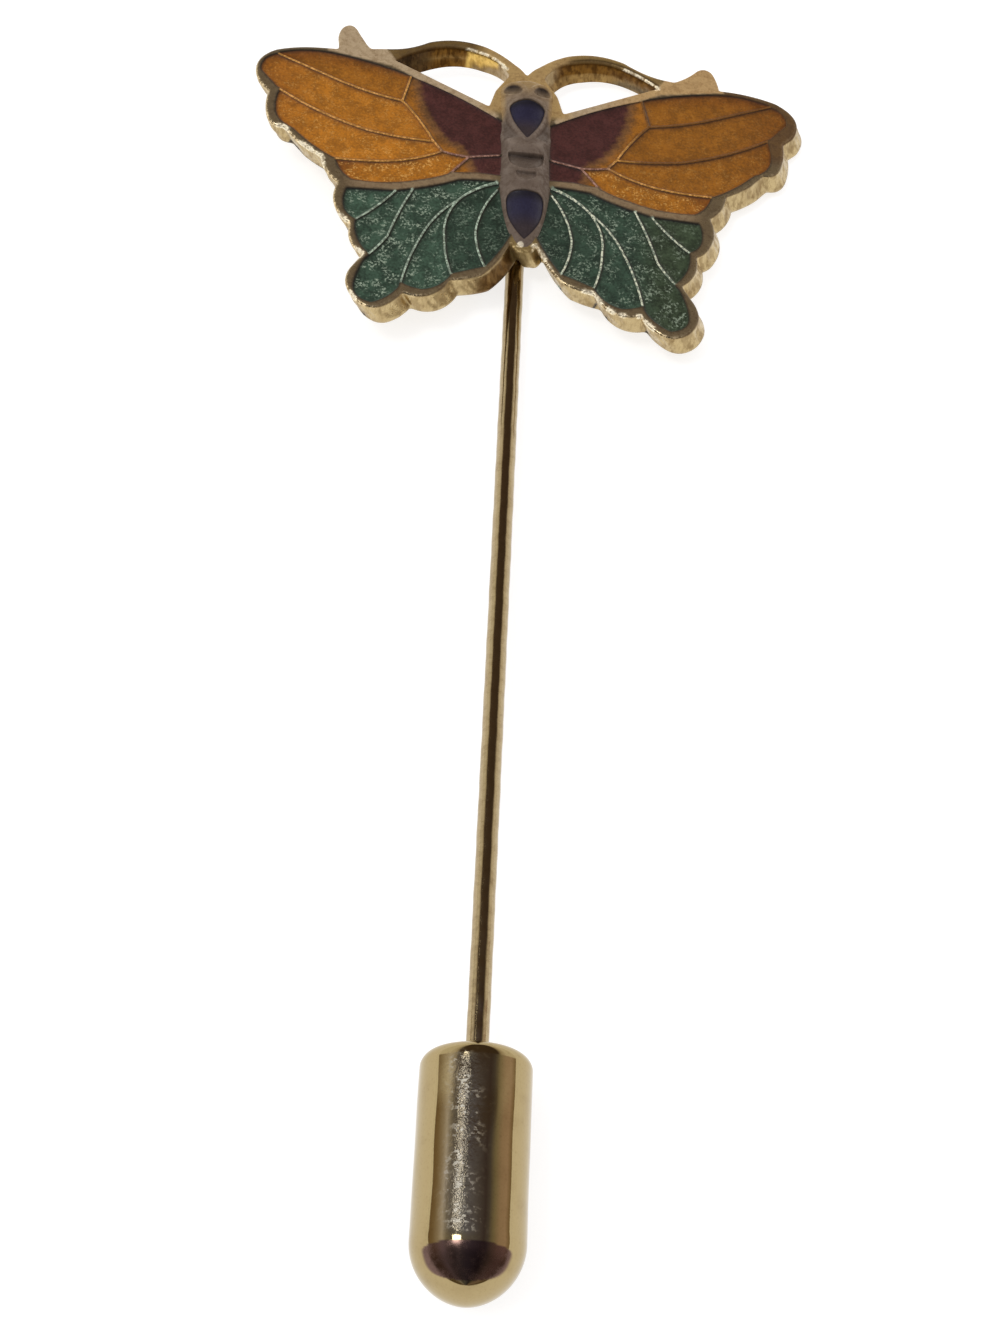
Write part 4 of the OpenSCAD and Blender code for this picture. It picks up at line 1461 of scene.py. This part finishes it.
@dataclass
class Stem:
    """The round wire with its point, and the solder that holds it behind the head."""

    radius: float = 0.5
    up: float = 9.0
    free: float = 45.0
    inside: float = 7.0
    point: float = 2.4
    tip: float = 0.08
    solder_half: float = 1.12
    solder_high: float = 0.42

    def wire(self) -> Surface:
        """The wire: a circle carried along the axis, which narrows to the point and closes at both ends."""
        end = -self.free - self.inside
        y = np.r_[self.up, self.up, np.linspace(self.up - 0.03, end + self.point, 420),
                  end + self.point * np.linspace(0.95, 0.05, 14), end + 0.02, end]
        r = np.interp(y, [end, end + self.point, self.up], [self.tip, self.radius, self.radius])
        r[0], r[1], r[-1] = 0.0, self.radius - 0.03, 0.0
        a = np.linspace(0, 2 * np.pi, 64, endpoint=False)[None]
        dent = 0.006 * (np.sin(y * 1.9) + np.sin(y * 4.3 + 1))[:, None] * np.cos(a - 0.6)
        ring = r[:, None] + dent * (r[:, None] > 0.3)
        grid = np.stack([ring * np.cos(a), np.broadcast_to(y[:, None], ring.shape), ring * np.sin(a)], 2)
        return grid_surface(grid[::-1], True, **Coat.of(WIRE_GOLD, ring.shape).marks())

    def solder(self) -> Surface:
        """The solder: a fillet from the back of the head up to the wire's sides, thinning out at both ends.

        Across the wire its height falls as (1 - |t|)^1.6, with t from -1 to 1 over its waved width.
        """
        y = np.linspace(0.4, self.up - 0.4, 90)[:, None]
        t = np.linspace(-1, 1, 41)[None]
        ends = np.sqrt(np.clip(1 - abs((y - self.up / 2) / (self.up / 2 - 0.35)) ** 6, 0, 1))
        half = (self.solder_half + 0.1 * np.sin(y * 1.7) + 0.05 * np.sin(y * 4.1)) * (0.45 + 0.55 * ends)
        drop = self.solder_high * ends * (np.maximum(1 - abs(t), 0) ** 1.6)
        grid = np.stack([half * t, y + 0 * t, DEPTHS.back + 0.01 - drop], 2)
        return grid_surface(grid[:, ::-1], False, **Coat.of(BODY_RUBBED_AND_LIT, drop.shape).marks()).backed(-0.05)


@dataclass
class Stopper:
    """The bullet-shaped stopper: one profile turned about the stem's axis."""

    radius: float = 2.42
    length: float = 10.45
    mouth: float = -44.72
    mouth_round: float = 0.62
    nose: float = 2.55
    bore: float = 0.54
    bore_len: float = 7.4
    crest: float = 1.83
    pit_spread: float = 0.24
    oval_at: float = 0.92
    oval_reach: tuple[float, float] = (0.42, 0.98)
    oval_half: float = 0.92

    def profile(self) -> tuple[np.ndarray, np.ndarray]:
        """Radius and distance from the mouth of each ring, from the floor of the bore to the tip.

        The nose is a bowed cone: its radius falls as (1 - s^2)^0.54 over its length.
        """
        a = np.linspace(0, np.pi / 2, 16)
        s = np.sin(np.linspace(0, np.pi / 2, 60))
        face, turn = self.radius - self.mouth_round, a[1:]
        rings = [
            ([0, self.bore], [self.bore_len, self.bore_len]),
            (np.full(12, self.bore), np.linspace(self.bore_len - 0.05, 0.12, 12)),
            (self.bore + 0.1 - 0.1 * np.cos(a), 0.1 - 0.1 * np.sin(a)),
            (np.linspace(self.bore + 0.15, face, 20), np.zeros(20)),
            (face + self.mouth_round * np.sin(turn), self.mouth_round * (1 - np.cos(turn))),
            (np.full(90, self.radius), np.linspace(self.mouth_round + 0.05, self.length - self.nose - 0.02, 90)),
            (self.radius * (1 - s**2) ** 0.54, self.length - self.nose + self.nose * s),
        ]
        return np.concatenate([r for r, _ in rings]), np.concatenate([d for _, d in rings])

    def pitted(self, a: np.ndarray, along: np.ndarray) -> np.ndarray:
        """The band of pits and of their painted sparkle, by angle and distance from the mouth: a hump on the crest
        that fades at both ends.
        """
        end = self.length - self.nose
        band = hump(a - self.crest - 0.04 * np.sin(along * 1.3), self.pit_spread)
        return band * eased(along, 0.3, 1.2) * (1 - eased(along, end, end + 0.5))

    def painted_reflection(self, a: np.ndarray, along: np.ndarray) -> np.ndarray:
        """The dark brown oval painted on the nose as the room's reflection, by angle and distance from the mouth.

        It is widest a little past the start of the nose. Its half width, an angle, falls as sqrt(1 - s^4), with s
        the share of its reach towards the mouth or towards the tip.
        """
        far = along - (self.length - self.nose) - self.oval_at
        s = np.clip(abs(far) / np.where(far < 0, *self.oval_reach), 0, 1)
        half = self.oval_half * np.sqrt(1 - s**4)
        return (1 - eased(abs(a - self.crest + 0.15) - half, -0.07, 0.03)) * (s < 1)

    def build(self) -> Surface:
        """The turned surface with dents of a few microns, its band of pits with their painted sparkle, and the
        brown oval painted on its nose as the room's reflection.
        """
        r, d = self.profile()
        a = np.linspace(0, 2 * np.pi, 192, endpoint=False)[None]
        dent = 0.006 * (np.sin(2 * a + d[:, None] * 0.8) + 0.6 * np.cos(5 * a - d[:, None] * 1.7))
        ring = r[:, None] + dent * (r[:, None] > 1.5) * eased(r[:, None], 1.5, 2.2)
        y = np.broadcast_to(self.mouth - d[:, None], ring.shape)
        grid = np.stack([ring * np.cos(a), y, ring * np.sin(a)], 2)
        # Painted reflection: the brown oval on the nose.
        coat = Coat.of(STOPPER_GOLD, ring.shape).under(NOSE_REFLECTION, self.painted_reflection(a, d[:, None]))
        marks = {"pitted": self.pitted(a, d[:, None]), **coat.marks()}
        return grid_surface(grid[::-1], True, **{n: v[::-1] for n, v in marks.items()})


# ---------------------------------------------------------------- studio


@dataclass(frozen=True)
class Studio:
    """A pale glowing table, soft light from above, small lamps and the room that the metal mirrors.

    The room's tones run with the angle from straight up towards +X, in degrees: low_tones near the viewer, as the
    stopper mirrors them, and high_tones far from the viewer, as the wire and the head do.
    """

    table: float = 0.45
    table_glow: float = 0.75
    soft_at: tuple[float, float, float] = (0.0, 0.05, 0.8)
    soft_size: float = 1.6
    soft_power: float = 7.0
    aim: tuple[float, float, float] = (0.0, -0.01, 0.0)
    near_table: float = 1.15
    low_tones: tuple[tuple[float, Colour], ...] = (
        (-82, (0.30, 0.22, 0.13)), (-74, (0.36, 0.28, 0.19)), (-64, (0.52, 0.46, 0.42)), (-55, (0.74, 0.72, 0.80)),
        (-46, (0.34, 0.32, 0.31)), (-35, (0.20, 0.19, 0.20)), (-25, (0.27, 0.28, 0.30)), (-14, (0.24, 0.25, 0.29)),
        (-5, (0.20, 0.20, 0.26)), (10, (0.15, 0.145, 0.19)), (28, (0.085, 0.068, 0.088)), (36, (0.13, 0.12, 0.14)),
        (47, (0.33, 0.30, 0.23)), (60, (0.54, 0.42, 0.36)), (73, (0.60, 0.46, 0.41)), (83, (0.36, 0.27, 0.17)),
    )
    high_tones: tuple[tuple[float, Colour], ...] = (
        (-60, (1.0, 0.98, 0.92)), (-46, (0.72, 0.66, 0.55)), (-38, (0.10, 0.07, 0.05)), (42, (0.085, 0.06, 0.045)),
        (50, (0.60, 0.54, 0.45)), (64, (1.0, 0.97, 0.92)),
    )
    lamps: tuple[tuple[str, tuple[float, float, float], float, float], ...] = (
        ("nose_lamp", (-0.155, -0.055, 0.33), 0.10, 0.240), ("mouth_lamp", (-0.150, 0.085, 0.32), 0.035, 0.016),
    )

    def build(self) -> None:
        """Make the table, the lights and the room."""
        bpy.ops.mesh.primitive_plane_add(size=3.0)
        floor = bpy.context.object
        floor.name = "table_top"
        s = Shader("table_top")
        grey, glow = (self.table,) * 3, (1.0, 1.0, 1.0)
        floor.data.materials.append(
            s.finish(Base_Color=grey, Roughness=0.8, Emission_Color=glow, Emission_Strength=self.table_glow))
        self.area("soft_box", self.soft_at, (0.0, 0.0, 0.0), self.soft_size, self.soft_power, False)
        for name, place, size, power in self.lamps:
            self.area(name, place, self.aim, size, power, True)
        self.room()

    def area(self, name: str, place: tuple, target: tuple, size: float, power: float, seen: bool) -> None:
        """One square light.

        Args:
            name: its name.
            place: where it stands, in metres.
            target: the point it faces.
            size: its side.
            power: in watts.
            seen: whether metal reflects it.
        """
        light = bpy.data.lights.new(name, "AREA")
        light.size, light.energy = size, power
        lamp = bpy.data.objects.new(name, light)
        bpy.context.scene.collection.objects.link(lamp)
        lamp.matrix_world = aimed(place, target)
        lamp.visible_glossy = seen
        lamp.visible_camera = False

    def room(self) -> None:
        """The room: as bright as the table at its edge and toned above."""
        world = bpy.data.worlds.new("room")
        bpy.context.scene.world = world
        world.use_nodes = True
        w = Wiring(world.node_tree)
        split = w.node("ShaderNodeSeparateXYZ")
        w.wire(w.node("ShaderNodeTexCoord").outputs["Generated"], split.inputs[0])
        x, y, z = split.outputs
        angle = w.sum("ADD", w.sum("DIVIDE", w.sum("ARCTAN2", x, z), math.pi), 0.5)
        low, high = self.toned(w, angle, self.low_tones), self.toned(w, angle, self.high_tones)
        low = w.mixed(1.0, low, w.spread(y, -0.55, -0.2, 0.5, 1.0), "MULTIPLY")
        above = w.mixed(w.spread(y, 0.33, 0.38), low, high)
        edge = (self.near_table,) * 3
        height = w.sum("ADD", z, w.spread(y, -0.4, -0.15, 0.10, 0.0))
        colour = world.node_tree.nodes["Background"].inputs["Color"]
        w.wire(w.mixed(w.spread(height, 0.08, 0.10), edge, above), colour)

    def toned(self, w: Wiring, angle: bpy.types.NodeSocket, tones: tuple) -> bpy.types.NodeSocket:
        """The tones at an angle, given as a share of the half turn from -90 degrees."""
        ramp = w.node("ShaderNodeValToRGB")
        w.wire(angle, ramp.inputs[0])
        for _ in tones[2:]:
            ramp.color_ramp.elements.new(0.5)
        for element, (at, colour) in zip(ramp.color_ramp.elements, tones):
            element.position, element.color = at / 180 + 0.5, (*colour, 1)
        return ramp.outputs["Color"]


def aimed(place: tuple, target: tuple) -> Matrix:
    """The matrix of a light or camera at a place that looks at a target."""
    back = np.array(place, float) - np.array(target, float)
    back /= np.linalg.norm(back)
    right = np.cross((0.0, 1.0, 0.001), back)
    right /= np.linalg.norm(right)
    up = np.cross(back, right)
    return Matrix([(*row, p) for row, p in zip(np.stack([right, up, back], 1).tolist(), place)] + [(0, 0, 0, 1)])


@dataclass(frozen=True)
class Viewpoint:
    """The camera: its place in millimetres, its heading from +Y towards +X, its tilt down and its roll.

    The angles are in degrees and the lens is in millimetres.
    """

    place: tuple[float, float, float] = (-3.585, -51.348, 85.179)
    heading: float = 4.5845
    down: float = 60.981
    roll: float = 8.0285
    lens: float = 54.135

    def build(self) -> None:
        """Make the camera and give it to the scene."""
        heading, down, roll = (math.radians(v) for v in (self.heading, self.down, self.roll))
        ahead = np.array([math.sin(heading) * math.cos(down), math.cos(heading) * math.cos(down), -math.sin(down)])
        level = np.array([ahead[1], -ahead[0], 0]) / math.hypot(ahead[0], ahead[1])
        right = math.cos(roll) * level + math.sin(roll) * np.cross(level, ahead)
        up = np.cross(right, ahead)
        lens = bpy.data.cameras.new("viewpoint")
        lens.lens, lens.sensor_width, lens.clip_start = self.lens, 36.0, 0.005
        camera = bpy.data.objects.new("viewpoint", lens)
        bpy.context.scene.collection.objects.link(camera)
        rows = np.stack([right, up, -ahead], 1).tolist()
        camera.matrix_world = Matrix([(*row, p * MM) for row, p in zip(rows, self.place)] + [(0, 0, 0, 1)])
        bpy.context.scene.camera = camera


# ---------------------------------------------------------------- putting it together


def settle(piece: bpy.types.Object, body: str, slot: str, *nodes: str) -> None:
    """Let a piece ride on its body and stand for its solids.

    Args:
        piece: the object.
        body: the body it moves with.
        slot: the record's material slot; not used.
        *nodes: the solids it stands for.
    """
    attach(piece, body)
    if nodes:
        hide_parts(*nodes)
    LOG.info("%s: %d faces", piece.name, len(piece.data.polygons))


FINISH_OF = {"amber": AMBER, "plum": PLUM, "green": GREEN}


def main() -> None:
    """Build the studio, then the pin piece by piece."""
    logging.basicConfig(level=logging.INFO, format="%(name)s %(message)s")
    scene = bpy.context.scene
    scene.view_settings.view_transform = "Standard"
    Viewpoint().build()
    Studio().build()

    plate, body, stem = HeadPlate(), BodyRelief(), Stem()
    gilt, gilt_body, gilt_wire = GILT.material(), GILT_BODY.material(), GILT_WIRE.material()
    settle(plate.build().turned().piece("head_plate", gilt), "pin", "gilt", "pin")
    settle(body.build().turned().piece("butterfly_body", gilt_body), "pin", "gilt")
    settle(stem.wire().piece("stem_wire", gilt_wire), "pin", "gilt")
    settle(stem.solder().piece("solder_seam", gilt_body), "pin", "gilt")

    enamels = {name: finish.material() for name, finish in FINISH_OF.items()}
    for side in Side:
        for name in WINGS.cells:
            node, colour = f"{side.name.lower()}_{name}", name.split("_")[0]
            glaze = WingCell(side, name, EnamelField(plate.cell(side, name))).build().turned()
            settle(glaze.piece(f"glaze_{node}", enamels[colour]), "pin", FINISH_OF[colour].hue.value, node)
    blue = BLUE.material()
    for node, rows in (("thorax_blue", BODY.drop_thorax), ("abdomen_blue", BODY.drop_abdomen)):
        settle(BodyDrop(body, rows).build().turned().piece(f"glaze_{node}", blue), "pin", "blue_enamel", node)

    settle(Stopper().build().piece("stopper_shell", GILT_STOPPER.material()), "stopper", "gilt", "stopper")


if __name__ == "__main__":
    main()
